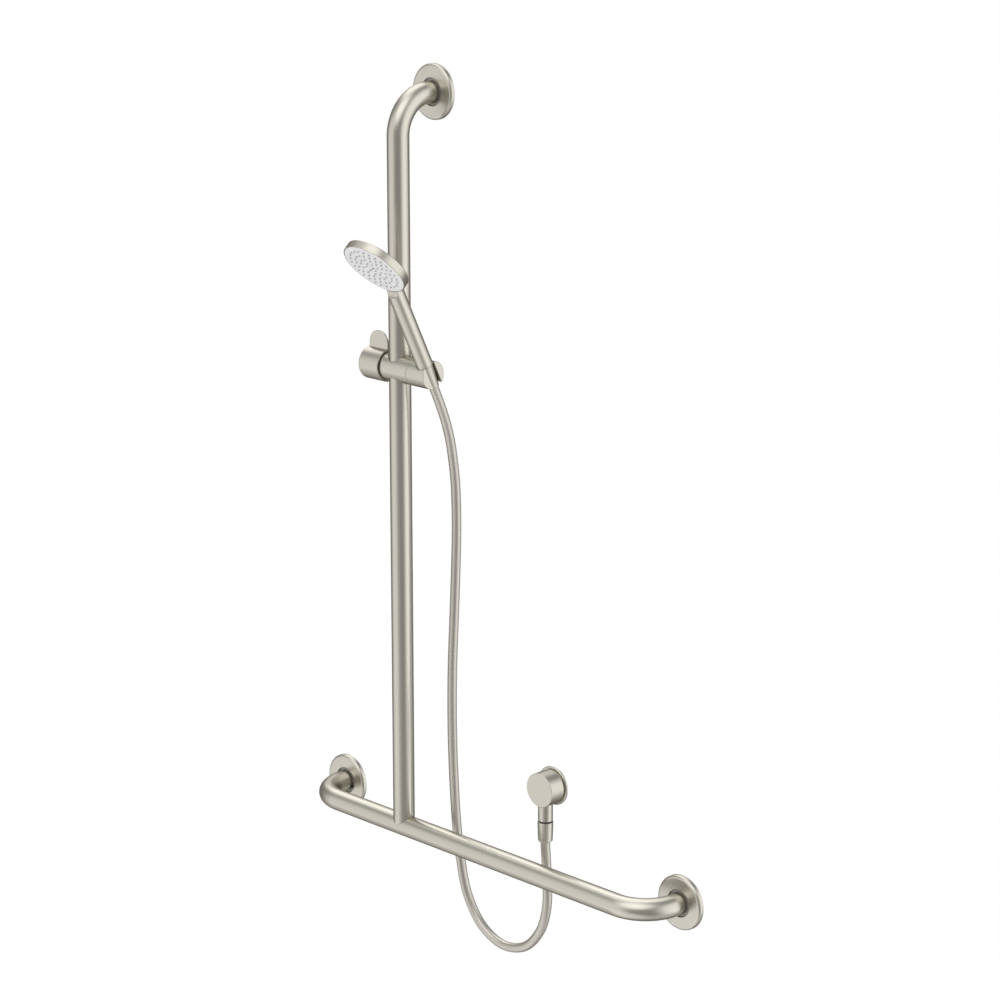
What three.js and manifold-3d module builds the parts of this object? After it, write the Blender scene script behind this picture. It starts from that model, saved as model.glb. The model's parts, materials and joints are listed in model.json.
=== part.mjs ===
/**
 * Hand shower set on an inverted-T grab rail.
 *
 * Millimetres, +Z up, +X along the lower rail, +Y into the wall, so the wall is the plane y = 0 and
 * everything stands at y < 0. The origin is the centre of the top wall plate's back face.
 */
import * as THREE from "three";
import { mergeVertices } from "three/addons/utils/BufferGeometryUtils.js";
import Module from "manifold-3d";

const wasm = await Module();
wasm.setup();

// ---------------------------------------------------------------- driving dimensions

const GAP = 0.3; // between pieces that touch
const SMALL_SIDES = 10;
const MEDIUM_SIDES = 20;
const LARGE_SIDES = 30;
const BEND_STEPS = 6;
const ROUND_STEPS = 2; // facets on a rounded edge

// Grab rail
const TUBE_RADIUS = 16;
const TUBE_BORE = 14;
const TUBE_FROM_WALL = 73.2; // wall to tube axis
const BEND_RADIUS = 57;
const LOWER_Z = -1085.8;
const LEFT_X = -200.7;
const RIGHT_X = 487.5;

// Wall plates, their screws and their covers
const PLATE_RADIUS = 37;
const PLATE_THICKNESS = 5;
const PLATE_HOLE_RADIUS = 2.7;
const PLATE_SINK_RADIUS = 4.8;
const SCREW_CIRCLE_RADIUS = 27;
const SCREWS_PER_PLATE = 3;
const SCREW_HEAD_RADIUS = 4.4;
const SCREW_SHANK_RADIUS = 2.3;
const SCREW_RECESS_RADIUS = 1.5;
const SCREW_RECESS_CONE = 0.6; // depth of the recess's pointed floor
const COVER_RADIUS = 40;
const COVER_DEPTH = 8.3;
const COVER_EDGE = 4.5;
const COVER_WALL = 1.2;
const COVER_HOLE = 20.3;

// Slider, centred on the vertical tube, its axis along X
const SLIDER_Z = -388.2;
const SLIDER_RADIUS = 20.6;
const SLIDER_LEFT = -21.2;
const SLIDER_RIGHT = 32.9;
const SPIGOT_RADIUS = 13;
const SPIGOT_LEFT = -33;
const PAD_BORE = 6.4;
const BUSH_INNER = 16.4;
const BUSH_OUTER = 17.4;
const BUSH_HALF_HEIGHT = 10.5;
const RAIL_BORE = 16.6;
const PAD_RADIUS = 6;
const PAD_LEFT = -26.2;
const PAD_REACH = 4; // how far its block goes into the tube's circle, before it is hollowed
const PAD_TRAVEL = 0.5; // the pad backs off by this much when the lock opens
const KNOB_RADIUS = 24.1;
const KNOB_LEFT = -63;
const KNOB_RIGHT = -22.7;
const KNOB_EDGE = 3;
const KNOB_BORE_LEFT = -34;
const KNOB_RING_RADIUS = 20.6;
const SPINDLE_RADIUS = 4.5;
const SPINDLE_LEFT = -56;
const PADDLE_LEFT = -58.9;
const PADDLE_RIGHT = -20.7;
const PADDLE_TOP = 49.6;
const PADDLE_FRONT = -4.6;
const PADDLE_THICKNESS = 3.1;
const PADDLE_FOOT = 18;

// Holder, on the slider's right end
const HOLDER_LEFT = 33.3;
const HOLDER_RIGHT = 69.1;
const HOLDER_EDGE = 1;
const WASHER_RADIUS = 11.5;
const WASHER_POCKET = 1.5;
const BOLT_RADIUS = 3;
const BOLT_HEAD_RADIUS = 5.6;
const BOLT_HEAD_LEFT = 41;
const BOLT_HEAD_LENGTH = 4.2;
const BOLT_LEFT = 19;
const SLOT_WIDTH = 19;
const SEAT_TOP = 16.3;
const SEAT_BOTTOM = -21;
const CUP_RADIUS = 12.7;

// Handset, along its own axis from the slider's axis
const HANDSET_X = 58.8;
const HANDSET_TILT = THREE.MathUtils.degToRad(26.1);
const NUT_TOP_RADIUS = 11.3;
const NUT_BOTTOM_RADIUS = 8.3;
const NUT_TOP = 16.1;
const NUT_SHOULDER = 1.7;
const NUT_THREAD_RADIUS = 8.7;
const UPPER_FERRULE_BOTTOM = -6;
const UPPER_FERRULE_TOP = 3.7;
const UPPER_WASHER_BORE = 4.6;
const HANDLE_RADIUS = 12.1;
const HANDLE_BORE = 9.8;
const HANDLE_BOTTOM = 16.5;
const HANDLE_BORE_TOP = 128;
const HANDLE_TOP = 190;
const INLET_RADIUS = 8.3;
const INLET_BOTTOM = 5.4;
const INLET_TOP = 27;
const INLET_BORE = 5;
const SCREEN_BOTTOM = 7.5;
const SCREEN_THICKNESS = 0.8;
const SCREEN_HOLE_RADIUS = 0.6;
const RESTRICTOR_BOTTOM = 10;
const RESTRICTOR_LENGTH = 4;
const RESTRICTOR_HOLE_RADIUS = 1.6;
const WATER_TUBE_RADIUS = 2.9;
const WATER_TUBE_BORE = 2;
const WATER_TUBE_OFFSET = 3.4;
const WATER_TUBE_TOP = 147;
const WATER_WAY_TOP = 151.2;

// Shower head, about its own axis, from the face inwards
const FACE_FORWARD = -19.8; // face centre, off the handle's axis
const FACE_ALONG = 193.8; // face centre, along the handle's axis
const FACE_TILT = THREE.MathUtils.degToRad(17.2);
const HEAD_RADIUS = 49.3;
const HEAD_RIM_DEPTH = 11.8;
const HEAD_EDGE = 1.5;
const HEAD_DOME = 7;
const HEAD_WALL = 1.2;
const FACE_RADIUS = 47.8;
const FACE_THICKNESS = 2.6;
const MAT_THICKNESS = 2;
const MAT_RADIUS = 47;
const FLOW_PLATE_THICKNESS = 1.4;
const FLOW_PLATE_RADIUS = 45.4;
const FLOW_HOLE_RADIUS = 1.8;
const NOZZLE_RINGS = [
  [3.6, 3],
  [12, 8],
  [20.7, 13],
  [29.5, 19],
  [38.3, 25],
]; // the radius and the count of each ring
const FLOW_RING = NOZZLE_RINGS[2]; // the ring that the flow plate's holes stand behind
const NOZZLE_RADIUS = 1.3;
const NOZZLE_TIP_RADIUS = 1.1;
const NOZZLE_PROUD = 1.8;
const NOZZLE_HOLE = 1.75;
const NOZZLE_SIDES = 4;

// Wall elbow
const ELBOW_X = 237.8;
const ELBOW_Z = -979.4;
const ELBOW_RADIUS = 25.3;
const ELBOW_FRONT = -30;
const ELBOW_WALL = 6; // behind the front face
const ELBOW_DISC_RADIUS = 28.8;
const ELBOW_DISC_THICKNESS = 3.2;
const ELBOW_INLET_RADIUS = 9.4;
const STUB_RADIUS = 10.8;
const STUB_Y = -16.8;
const STUB_BOTTOM = -48.6;
const SPOUT_BORE = 6;
const SPOUT_SOCKET = 8.5;
const SPOUT_SOCKET_DEPTH = 14;
const SPOUT_THREAD = 9.2;
const SPOUT_BOTTOM = -62.4;
const SEAL_THICKNESS = 1.6;
const CAGE_TOP = -17;
const CAGE_BOTTOM = -33;
const CAGE_SEAT = 2; // thickness of the valve's seat
const CAGE_SEAT_RADIUS = 2.6;
const CAGE_BORE = 4.2;
const POPPET_RADIUS = 3.7;
const POPPET_RIM = 1.4;
const POPPET_STEM_RADIUS = 1.2;
const POPPET_LENGTH = 8.7;
const LOWER_NUT_RADIUS = 11.6;
const LOWER_NUT_END_RADIUS = 10.6;
const LOWER_NUT_BOTTOM = -80.8;
const LOWER_NUT_PLAY = 0.8; // round the hose, which leaves at a slant
const LOWER_WASHER_THICKNESS = 1.5;
const LOWER_WASHER_BORE = 5;
const LOWER_FERRULE_TOP = SPOUT_BOTTOM - LOWER_WASHER_THICKNESS - 2 * GAP;
const LOWER_FERRULE_FLANGE = 1.8;

// Hose
const HOSE_RADIUS = 7;
const HOSE_BORE = 3.6; // through the ferrule at each end
const HOSE_SIDES = 8;
const HOSE_STEPS = 36;
const HOSE_ROUTE = [
  [58.8, -70.43, -393.86],
  [58.8, -62.6, -409.8],
  [59.1, -53.3, -430.6],
  [59.6, -41.2, -461.2],
  [59.9, -32.4, -491.2],
  [60, -26.8, -521.7],
  [60, -22.7, -552.4],
  [60, -20.9, -582.6],
  [60, -20.3, -627.7],
  [60, -23, -703.1],
  [60, -26.1, -763.2],
  [60, -29.4, -823.8],
  [60, -30.8, -885.3],
  [60, -30.3, -947.7],
  [60.5, -28, -1011.5],
  [62.5, -24.6, -1082.6],
  [67.4, -21.5, -1136.4],
  [81.2, -20.5, -1189.5],
  [111, -20, -1230],
  [154, -19.5, -1248],
  [199, -19, -1237.2],
  [231.3, -19, -1201.1],
  [243.8, -19, -1158],
  [242.2, -18.5, -1102.3],
  [239.2, -17.2, -1078],
  [237.8, -16.8, -1062],
  [237.8, -16.8, -1052.3],
];

// ---------------------------------------------------------------- materials

const FINISHES = {
  nickel: { color: 0xc9c3b7, roughness: 0.36, metalness: 1 },
  plated: { color: 0xcbc6bb, roughness: 0.38, metalness: 1 },
  hose: { color: 0xc4bfb3, roughness: 0.42, metalness: 0.8 },
  steel: { color: 0xb9b9b6, roughness: 0.35, metalness: 1 },
  brass: { color: 0xb58e4c, roughness: 0.4, metalness: 1 },
  face: { color: 0xe6e5e6, roughness: 0.45, metalness: 0 },
  silicone: { color: 0xbcbcbd, roughness: 0.7, metalness: 0 },
  rubber: { color: 0x1c1b1a, roughness: 0.75, metalness: 0 },
  plastic: { color: 0xdcdad4, roughness: 0.55, metalness: 0 },
};

function mesh(name, finish, geometry) {
  const made = new THREE.Mesh(geometry, new THREE.MeshStandardMaterial(FINISHES[finish]));
  made.name = name;
  return made;
}

// ---------------------------------------------------------------- solids

/** A closed geometry as a manifold solid. */
function solid(geometry) {
  const bare = new THREE.BufferGeometry();
  bare.setAttribute("position", geometry.getAttribute("position"));
  bare.setIndex(geometry.getIndex());
  const merged = mergeVertices(bare, 1e-3);
  const index = merged.index.array;
  const corners = [];
  for (let i = 0; i < index.length; i += 3) {
    const [a, b, c] = index.slice(i, i + 3);
    if (a !== b && b !== c && c !== a) corners.push(a, b, c);
  }
  const vertProperties = merged.attributes.position.array;
  const triVerts = new Uint32Array(corners);
  return new wasm.Manifold(new wasm.Mesh({ numProp: 3, vertProperties, triVerts }));
}

function geometryOf(made) {
  const { vertProperties, triVerts } = made.getMesh();
  const geometry = new THREE.BufferGeometry();
  geometry.setAttribute("position", new THREE.BufferAttribute(vertProperties, 3));
  geometry.setIndex(new THREE.BufferAttribute(triVerts, 1));
  geometry.computeVertexNormals();
  return geometry;
}

function cut(geometry, ...cutters) {
  return geometryOf(cutters.reduce((left, tool) => left.subtract(solid(tool)), solid(geometry)));
}

function join(...pieces) {
  return geometryOf(pieces.map(solid).reduce((all, piece) => all.add(piece)));
}

/** A profile of [radius, along] points turned about an axis. It closes on itself or ends on the axis. */
function turned(profile, axis, sides = MEDIUM_SIDES) {
  const points = profile.map(([radius, along]) => new THREE.Vector2(radius, along));
  const onAxis = profile[0][0] === 0 && profile[profile.length - 1][0] === 0;
  if (!onAxis) points.push(points[0].clone());
  if (THREE.ShapeUtils.area(points) < 0) points.reverse();
  const geometry = new THREE.LatheGeometry(points, sides);
  if (axis === "z") geometry.rotateX(Math.PI / 2);
  if (axis === "x") geometry.rotateZ(-Math.PI / 2);
  return geometry;
}

function rod(radius, from, to, axis, sides) {
  return turned([[0, from], [radius, from], [radius, to], [0, to]], axis, sides);
}

function pipe(outer, inner, from, to, axis, sides) {
  return turned([[inner, from], [outer, from], [outer, to], [inner, to]], axis, sides);
}

/** Points of a quarter-round edge about a centre, from one direction to the next, both in degrees. */
function rounded(centreRadius, centreAlong, edge, fromDegrees, toDegrees) {
  const points = [];
  for (let i = 0; i <= ROUND_STEPS; i++) {
    const angle = THREE.MathUtils.degToRad(fromDegrees + ((toDegrees - fromDegrees) * i) / ROUND_STEPS);
    points.push([centreRadius + edge * Math.cos(angle), centreAlong + edge * Math.sin(angle)]);
  }
  return points;
}

/** A closed outline of [x, y] points, extruded along z from one depth to another. */
function prism(outline, from, to) {
  const shape = new THREE.Shape(outline.map(([x, y]) => new THREE.Vector2(x, y)));
  const geometry = new THREE.ExtrudeGeometry(shape, { depth: to - from, bevelEnabled: false });
  return geometry.translate(0, 0, from);
}

// ---------------------------------------------------------------- grab rail

/** A tube's centreline, as stations of a point and a direction: few on the straights, more in the bends. */
class StationPath extends THREE.Curve {
  constructor(stations) {
    super();
    this.stations = stations;
  }

  getPointAt(u, target = new THREE.Vector3()) {
    const along = u * (this.stations.length - 1);
    const i = Math.min(Math.floor(along), this.stations.length - 2);
    return target.lerpVectors(this.stations[i].point, this.stations[i + 1].point, along - i);
  }

  getTangentAt(u, target = new THREE.Vector3()) {
    return target.copy(this.stations[Math.round(u * (this.stations.length - 1))].direction);
  }
}

/** The stations of a right-angled round bend at a corner. */
function bend(corner, inward, outward) {
  const centre = corner.clone().addScaledVector(inward, -BEND_RADIUS).addScaledVector(outward, BEND_RADIUS);
  const stations = [];
  for (let i = 0; i <= BEND_STEPS; i++) {
    const angle = (Math.PI / 2) * (i / BEND_STEPS);
    const point = centre
      .clone()
      .addScaledVector(outward, -BEND_RADIUS * Math.cos(angle))
      .addScaledVector(inward, BEND_RADIUS * Math.sin(angle));
    const direction = inward.clone().multiplyScalar(Math.cos(angle));
    direction.addScaledVector(outward, Math.sin(angle));
    stations.push({ point, direction });
  }
  return stations;
}

function bentTube(stations) {
  const section = new THREE.Shape().absarc(0, 0, TUBE_RADIUS, 0, 2 * Math.PI);
  section.holes.push(new THREE.Path().absarc(0, 0, TUBE_BORE, 0, 2 * Math.PI));
  return new THREE.ExtrudeGeometry(section, {
    steps: stations.length - 1,
    curveSegments: MEDIUM_SIDES / 2,
    bevelEnabled: false,
    extrudePath: new StationPath(stations),
  });
}

const RIGHT = new THREE.Vector3(1, 0, 0);
const TO_WALL = new THREE.Vector3(0, 1, 0);
const FROM_WALL = new THREE.Vector3(0, -1, 0);
const UP = new THREE.Vector3(0, 0, 1);
const TUBE_END_Y = -PLATE_THICKNESS - GAP;

/** Rises from the lower tube and bends to the wall at the top. Its foot is coped to the lower tube. */
function verticalTube() {
  const foot = { point: new THREE.Vector3(0, -TUBE_FROM_WALL, LOWER_Z), direction: UP };
  const head = { point: new THREE.Vector3(0, TUBE_END_Y, 0), direction: TO_WALL };
  const corner = new THREE.Vector3(0, -TUBE_FROM_WALL, 0);
  const tube = bentTube([foot, ...bend(corner, UP, TO_WALL), head]);
  const reach = 2 * TUBE_RADIUS;
  const saddle = rod(TUBE_RADIUS + GAP, -reach, reach, "x").translate(0, -TUBE_FROM_WALL, LOWER_Z);
  return mesh("vertical_tube", "nickel", cut(tube, saddle));
}

/** Runs along the wall with both ends bent back to it. */
function lowerTube() {
  const leftCorner = new THREE.Vector3(LEFT_X, -TUBE_FROM_WALL, LOWER_Z);
  const rightCorner = new THREE.Vector3(RIGHT_X, -TUBE_FROM_WALL, LOWER_Z);
  const tube = bentTube([
    { point: new THREE.Vector3(LEFT_X, TUBE_END_Y, LOWER_Z), direction: FROM_WALL },
    ...bend(leftCorner, FROM_WALL, RIGHT),
    ...bend(rightCorner, RIGHT, TO_WALL),
    { point: new THREE.Vector3(RIGHT_X, TUBE_END_Y, LOWER_Z), direction: TO_WALL },
  ]);
  return mesh("lower_tube", "nickel", tube);
}

// ---------------------------------------------------------------- wall plates and covers

/** The places of a plate's screws, round its centre. */
function screwPlaces() {
  const places = [];
  for (let i = 0; i < SCREWS_PER_PLATE; i++) {
    const angle = Math.PI / 2 + (2 * Math.PI * i) / SCREWS_PER_PLATE;
    places.push([SCREW_CIRCLE_RADIUS * Math.cos(angle), SCREW_CIRCLE_RADIUS * Math.sin(angle)]);
  }
  return places;
}

function wallPlate(name) {
  const sink = PLATE_SINK_RADIUS - PLATE_HOLE_RADIUS;
  const holes = screwPlaces().map(([x, z]) =>
    turned(
      [
        [0, -PLATE_THICKNESS - 1],
        [PLATE_SINK_RADIUS, -PLATE_THICKNESS - 1],
        [PLATE_SINK_RADIUS, -PLATE_THICKNESS],
        [PLATE_HOLE_RADIUS, -PLATE_THICKNESS + sink],
        [PLATE_HOLE_RADIUS, 1],
        [0, 1],
      ],
      "y",
      SMALL_SIDES,
    ).translate(x, 0, z),
  );
  return mesh(name, "steel", cut(rod(PLATE_RADIUS, -PLATE_THICKNESS, 0, "y", LARGE_SIDES), ...holes));
}

/** A countersunk screw whose shank stops at the wall plane. */
function wallScrew(name, x, z) {
  const front = -PLATE_THICKNESS;
  const cone = SCREW_HEAD_RADIUS - SCREW_SHANK_RADIUS;
  const recessFloor = front + cone;
  const profile = [
    [0, recessFloor],
    [SCREW_RECESS_RADIUS, recessFloor - SCREW_RECESS_CONE],
    [SCREW_RECESS_RADIUS, front],
    [SCREW_HEAD_RADIUS, front],
    [SCREW_SHANK_RADIUS, front + cone],
    [SCREW_SHANK_RADIUS, -GAP],
    [0, -GAP],
  ];
  const screw = mesh(name, "steel", turned(profile, "y", SMALL_SIDES / 2));
  screw.position.set(x, 0, z);
  return screw;
}

/** A round cup that snaps over the plate and slides forward along the tube. */
function flangeCover(name) {
  const shoulder = COVER_RADIUS - COVER_EDGE;
  const profile = [
    [COVER_HOLE, -COVER_DEPTH],
    ...rounded(shoulder, -COVER_DEPTH + COVER_EDGE, COVER_EDGE, -90, 0),
    [COVER_RADIUS, -GAP],
    [COVER_RADIUS - COVER_WALL, -GAP],
    ...rounded(shoulder, -COVER_DEPTH + COVER_EDGE, COVER_EDGE - COVER_WALL, 0, -90),
    [COVER_HOLE, -COVER_DEPTH + COVER_WALL],
  ];
  return mesh(name, "nickel", turned(profile, "y", LARGE_SIDES));
}

function wallFixing(side, x, z) {
  const group = new THREE.Group();
  group.position.set(x, 0, z);
  group.add(wallPlate(side + "_wall_plate"), flangeCover(side + "_flange_cover"));
  screwPlaces().forEach(([dx, dz], i) => group.add(wallScrew(side + "_wall_screw_" + (i + 1), dx, dz)));
  return group;
}

// ---------------------------------------------------------------- slider and its lock

function sliderBody() {
  const edge = 0.6;
  const outside = turned(
    [
      [0, SPIGOT_LEFT],
      [SPIGOT_RADIUS, SPIGOT_LEFT],
      [SPIGOT_RADIUS, SLIDER_LEFT],
      [SLIDER_RADIUS - edge, SLIDER_LEFT],
      [SLIDER_RADIUS, SLIDER_LEFT + edge],
      [SLIDER_RADIUS, SLIDER_RIGHT],
      [0, SLIDER_RIGHT],
    ],
    "x",
    LARGE_SIDES,
  );
  const railBore = rod(RAIL_BORE, -SLIDER_RADIUS - 1, SLIDER_RADIUS + 1, "z");
  const bushGroove = rod(BUSH_OUTER + GAP, -BUSH_HALF_HEIGHT - GAP, BUSH_HALF_HEIGHT + GAP, "z");
  const padBore = rod(PAD_BORE, SPIGOT_LEFT - 1, 0, "x", SMALL_SIDES);
  const boltBore = rod(BOLT_RADIUS + GAP, 0, SLIDER_RIGHT + 1, "x", SMALL_SIDES);
  return mesh("slider_body", "plated", cut(outside, railBore, bushGroove, padBore, boltBore));
}

/** The plastic liner that runs on the tube, with a window for the brake pad. */
function railBush() {
  const liner = pipe(BUSH_OUTER, BUSH_INNER, -BUSH_HALF_HEIGHT, BUSH_HALF_HEIGHT, "z");
  const window = rod(PAD_BORE, -SLIDER_RADIUS, 0, "x", SMALL_SIDES);
  return mesh("rail_bush", "plastic", cut(liner, window));
}

/** The pad that the lock presses on the tube, hollowed to the tube's round. */
function brakePad() {
  const block = rod(PAD_RADIUS, PAD_LEFT, -TUBE_RADIUS + PAD_REACH, "x", SMALL_SIDES);
  const tube = rod(TUBE_RADIUS + GAP, -SLIDER_RADIUS, SLIDER_RADIUS, "z");
  return mesh("brake_pad", "rubber", cut(block, tube));
}

function knobRing() {
  const left = KNOB_RIGHT + GAP;
  const right = SLIDER_LEFT - GAP;
  const ring = pipe(KNOB_RING_RADIUS, SPIGOT_RADIUS + GAP, left, right, "x", LARGE_SIDES);
  return mesh("knob_ring", "rubber", ring);
}

/** The lock knob: a cup that turns on the slider's spigot, with an upright thumb paddle. */
function lockKnob() {
  const shoulder = KNOB_RADIUS - KNOB_EDGE;
  const cup = turned(
    [
      [0, KNOB_LEFT],
      ...rounded(shoulder, KNOB_LEFT + KNOB_EDGE, KNOB_EDGE, -90, 0),
      [KNOB_RADIUS, KNOB_RIGHT],
      [SPIGOT_RADIUS + GAP, KNOB_RIGHT],
      [SPIGOT_RADIUS + GAP, KNOB_BORE_LEFT],
      [SPINDLE_RADIUS + GAP, KNOB_BORE_LEFT],
      [SPINDLE_RADIUS + GAP, SPINDLE_LEFT - GAP],
      [0, SPINDLE_LEFT - GAP],
    ],
    "x",
    LARGE_SIDES,
  );
  const round = (PADDLE_RIGHT - PADDLE_LEFT) / 2;
  const middle = PADDLE_LEFT + round;
  const outline = [
    [PADDLE_LEFT, PADDLE_FOOT],
    [KNOB_RIGHT, PADDLE_FOOT],
    [KNOB_RIGHT, KNOB_RADIUS],
    [PADDLE_RIGHT, KNOB_RADIUS],
  ];
  const arcSteps = 14;
  for (let i = 0; i <= arcSteps; i++) {
    const angle = (Math.PI * i) / arcSteps;
    outline.push([middle + round * Math.cos(angle), PADDLE_TOP - round + round * Math.sin(angle)]);
  }
  const paddle = prism(outline, -PADDLE_FRONT - PADDLE_THICKNESS, -PADDLE_FRONT).rotateX(Math.PI / 2);
  return mesh("lock_knob", "plated", join(cup, paddle));
}

function lockSpindle() {
  const right = PAD_LEFT - GAP - PAD_TRAVEL;
  return mesh("lock_spindle", "brass", rod(SPINDLE_RADIUS, SPINDLE_LEFT, right, "x", SMALL_SIDES));
}

// ---------------------------------------------------------------- holder

/** Puts a geometry made along the handset's axis into the slider's frame. */
function leaned(geometry) {
  return geometry.rotateX(HANDSET_TILT).translate(HANDSET_X, 0, 0);
}

/** The round end piece that grips the handset's cone nut in a seat, open to the right through a slot. */
function holder() {
  const shoulder = SLIDER_RADIUS - HOLDER_EDGE;
  const outside = turned(
    [
      [0, HOLDER_LEFT],
      [SLIDER_RADIUS, HOLDER_LEFT],
      ...rounded(shoulder, HOLDER_RIGHT - HOLDER_EDGE, HOLDER_EDGE, 0, 90),
      [0, HOLDER_RIGHT],
    ],
    "x",
    LARGE_SIDES,
  );
  const reach = 2 * SLIDER_RADIUS;
  const play = 0.35;
  const seat = leaned(
    turned(
      [
        [0, -reach],
        [NUT_BOTTOM_RADIUS + play, -reach],
        [NUT_BOTTOM_RADIUS + play, SEAT_BOTTOM],
        [NUT_TOP_RADIUS + play, SEAT_TOP],
        [CUP_RADIUS, SEAT_TOP],
        [CUP_RADIUS, reach],
        [0, reach],
      ],
      "z",
    ),
  );
  const slotLength = HOLDER_RIGHT - HANDSET_X + 1;
  const slotBlock = new THREE.BoxGeometry(slotLength, SLOT_WIDTH, 2 * reach);
  const slot = leaned(slotBlock.translate(slotLength / 2, 0, 0));
  const washerPocket = rod(WASHER_RADIUS + GAP, HOLDER_LEFT - 1, HOLDER_LEFT + WASHER_POCKET, "x");
  const boltHole = rod(BOLT_RADIUS + GAP, HOLDER_LEFT, HANDSET_X, "x", SMALL_SIDES);
  const headHole = rod(BOLT_HEAD_RADIUS + GAP, BOLT_HEAD_LEFT - GAP, HANDSET_X, "x", SMALL_SIDES);
  return mesh("handset_holder", "plated", cut(outside, seat, slot, washerPocket, boltHole, headHole));
}

function frictionWasher() {
  const left = SLIDER_RIGHT + GAP;
  const right = HOLDER_LEFT + WASHER_POCKET - GAP;
  const washer = pipe(WASHER_RADIUS, BOLT_RADIUS + GAP, left, right, "x");
  return mesh("friction_washer", "plastic", washer);
}

/** The cap screw that the holder tilts on. */
function tiltBolt() {
  const headRight = BOLT_HEAD_LEFT + BOLT_HEAD_LENGTH;
  const socket = 2.5;
  const profile = [
    [0, BOLT_LEFT],
    [BOLT_RADIUS, BOLT_LEFT],
    [BOLT_RADIUS, BOLT_HEAD_LEFT],
    [BOLT_HEAD_RADIUS, BOLT_HEAD_LEFT],
    [BOLT_HEAD_RADIUS, headRight],
    [socket, headRight],
    [socket, headRight - socket],
    [0, headRight - socket],
  ];
  return mesh("tilt_bolt", "steel", turned(profile, "x", SMALL_SIDES));
}

// ---------------------------------------------------------------- handset

/** The conical nut at the hose's upper end: it screws on the handset and seats in the holder. */
function coneNut() {
  const lip = 0.8;
  const hole = HOSE_RADIUS + GAP;
  const profile = [
    [hole, SEAT_BOTTOM],
    [NUT_BOTTOM_RADIUS - lip, SEAT_BOTTOM],
    [NUT_BOTTOM_RADIUS, SEAT_BOTTOM + lip],
    [NUT_TOP_RADIUS, NUT_TOP],
    [NUT_THREAD_RADIUS, NUT_TOP],
    [NUT_THREAD_RADIUS, NUT_SHOULDER],
    [hole, NUT_SHOULDER],
  ];
  return mesh("hose_cone_nut", "nickel", turned(profile, "z"));
}

function upperFerrule() {
  const flange = NUT_THREAD_RADIUS - GAP;
  const profile = [
    [HOSE_BORE, UPPER_FERRULE_BOTTOM],
    [HOSE_RADIUS, UPPER_FERRULE_BOTTOM],
    [HOSE_RADIUS, NUT_SHOULDER + GAP],
    [flange, NUT_SHOULDER + GAP],
    [flange, UPPER_FERRULE_TOP],
    [HOSE_BORE, UPPER_FERRULE_TOP],
  ];
  return mesh("upper_hose_ferrule", "brass", turned(profile, "z", SMALL_SIDES));
}

function upperWasher() {
  const bottom = UPPER_FERRULE_TOP + GAP;
  const washer = pipe(INLET_RADIUS, UPPER_WASHER_BORE, bottom, INLET_BOTTOM - GAP, "z", SMALL_SIDES);
  return mesh("upper_hose_washer", "rubber", washer);
}

/** The threaded inlet bonded into the foot of the handle. */
function handleInlet() {
  const collar = HANDLE_BORE - GAP;
  const collarBottom = HANDLE_BOTTOM + 1;
  const profile = [
    [INLET_BORE, INLET_BOTTOM],
    [INLET_RADIUS, INLET_BOTTOM],
    [INLET_RADIUS, collarBottom],
    [collar, collarBottom],
    [collar, INLET_TOP],
    [INLET_BORE, INLET_TOP],
  ];
  return mesh("handset_inlet", "brass", turned(profile, "z", SMALL_SIDES));
}

function filterScreen() {
  const top = SCREEN_BOTTOM + SCREEN_THICKNESS;
  const disc = pipe(INLET_BORE - GAP, SCREEN_HOLE_RADIUS, SCREEN_BOTTOM, top, "z", SMALL_SIDES);
  return mesh("filter_screen", "steel", disc);
}

function flowRestrictor() {
  const top = RESTRICTOR_BOTTOM + RESTRICTOR_LENGTH;
  const plug = pipe(INLET_BORE - GAP, RESTRICTOR_HOLE_RADIUS, RESTRICTOR_BOTTOM, top, "z", SMALL_SIDES);
  return mesh("flow_restrictor", "plastic", plug);
}

function waterTube() {
  const bottom = INLET_TOP + GAP;
  const tube = pipe(WATER_TUBE_RADIUS, WATER_TUBE_BORE, bottom, WATER_TUBE_TOP, "z", SMALL_SIDES);
  return mesh("water_tube", "plastic", tube.translate(0, WATER_TUBE_OFFSET, 0));
}

/** The frame of the shower head inside the handset: its own z axis points out of the face. */
const HEAD_PLACE = new THREE.Matrix4()
  .makeTranslation(0, FACE_FORWARD, FACE_ALONG)
  .multiply(new THREE.Matrix4().makeRotationX(Math.PI / 2 + FACE_TILT));

/** The head's outside: a flat rim and a shallow dome behind it, larger all round by a margin. */
function headOutline(margin, front) {
  const rim = HEAD_RADIUS + margin;
  const domeRadius = HEAD_RADIUS - HEAD_EDGE + margin;
  const points = [
    [rim, front],
    [rim, -HEAD_RIM_DEPTH + HEAD_EDGE],
    [domeRadius, -HEAD_RIM_DEPTH - margin],
  ];
  const domeSteps = 6;
  for (let i = 1; i <= domeSteps; i++) {
    const share = 1 - i / domeSteps;
    points.push([domeRadius * share, -HEAD_RIM_DEPTH - margin - HEAD_DOME * (1 - share * share)]);
  }
  return points;
}

/** A cutter for the water tube's way through the head's rim and the handle's top. */
function waterWay() {
  const way = rod(WATER_TUBE_RADIUS + GAP, HANDLE_BORE_TOP - 1, WATER_WAY_TOP, "z", SMALL_SIDES);
  return way.translate(0, WATER_TUBE_OFFSET, 0);
}

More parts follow.
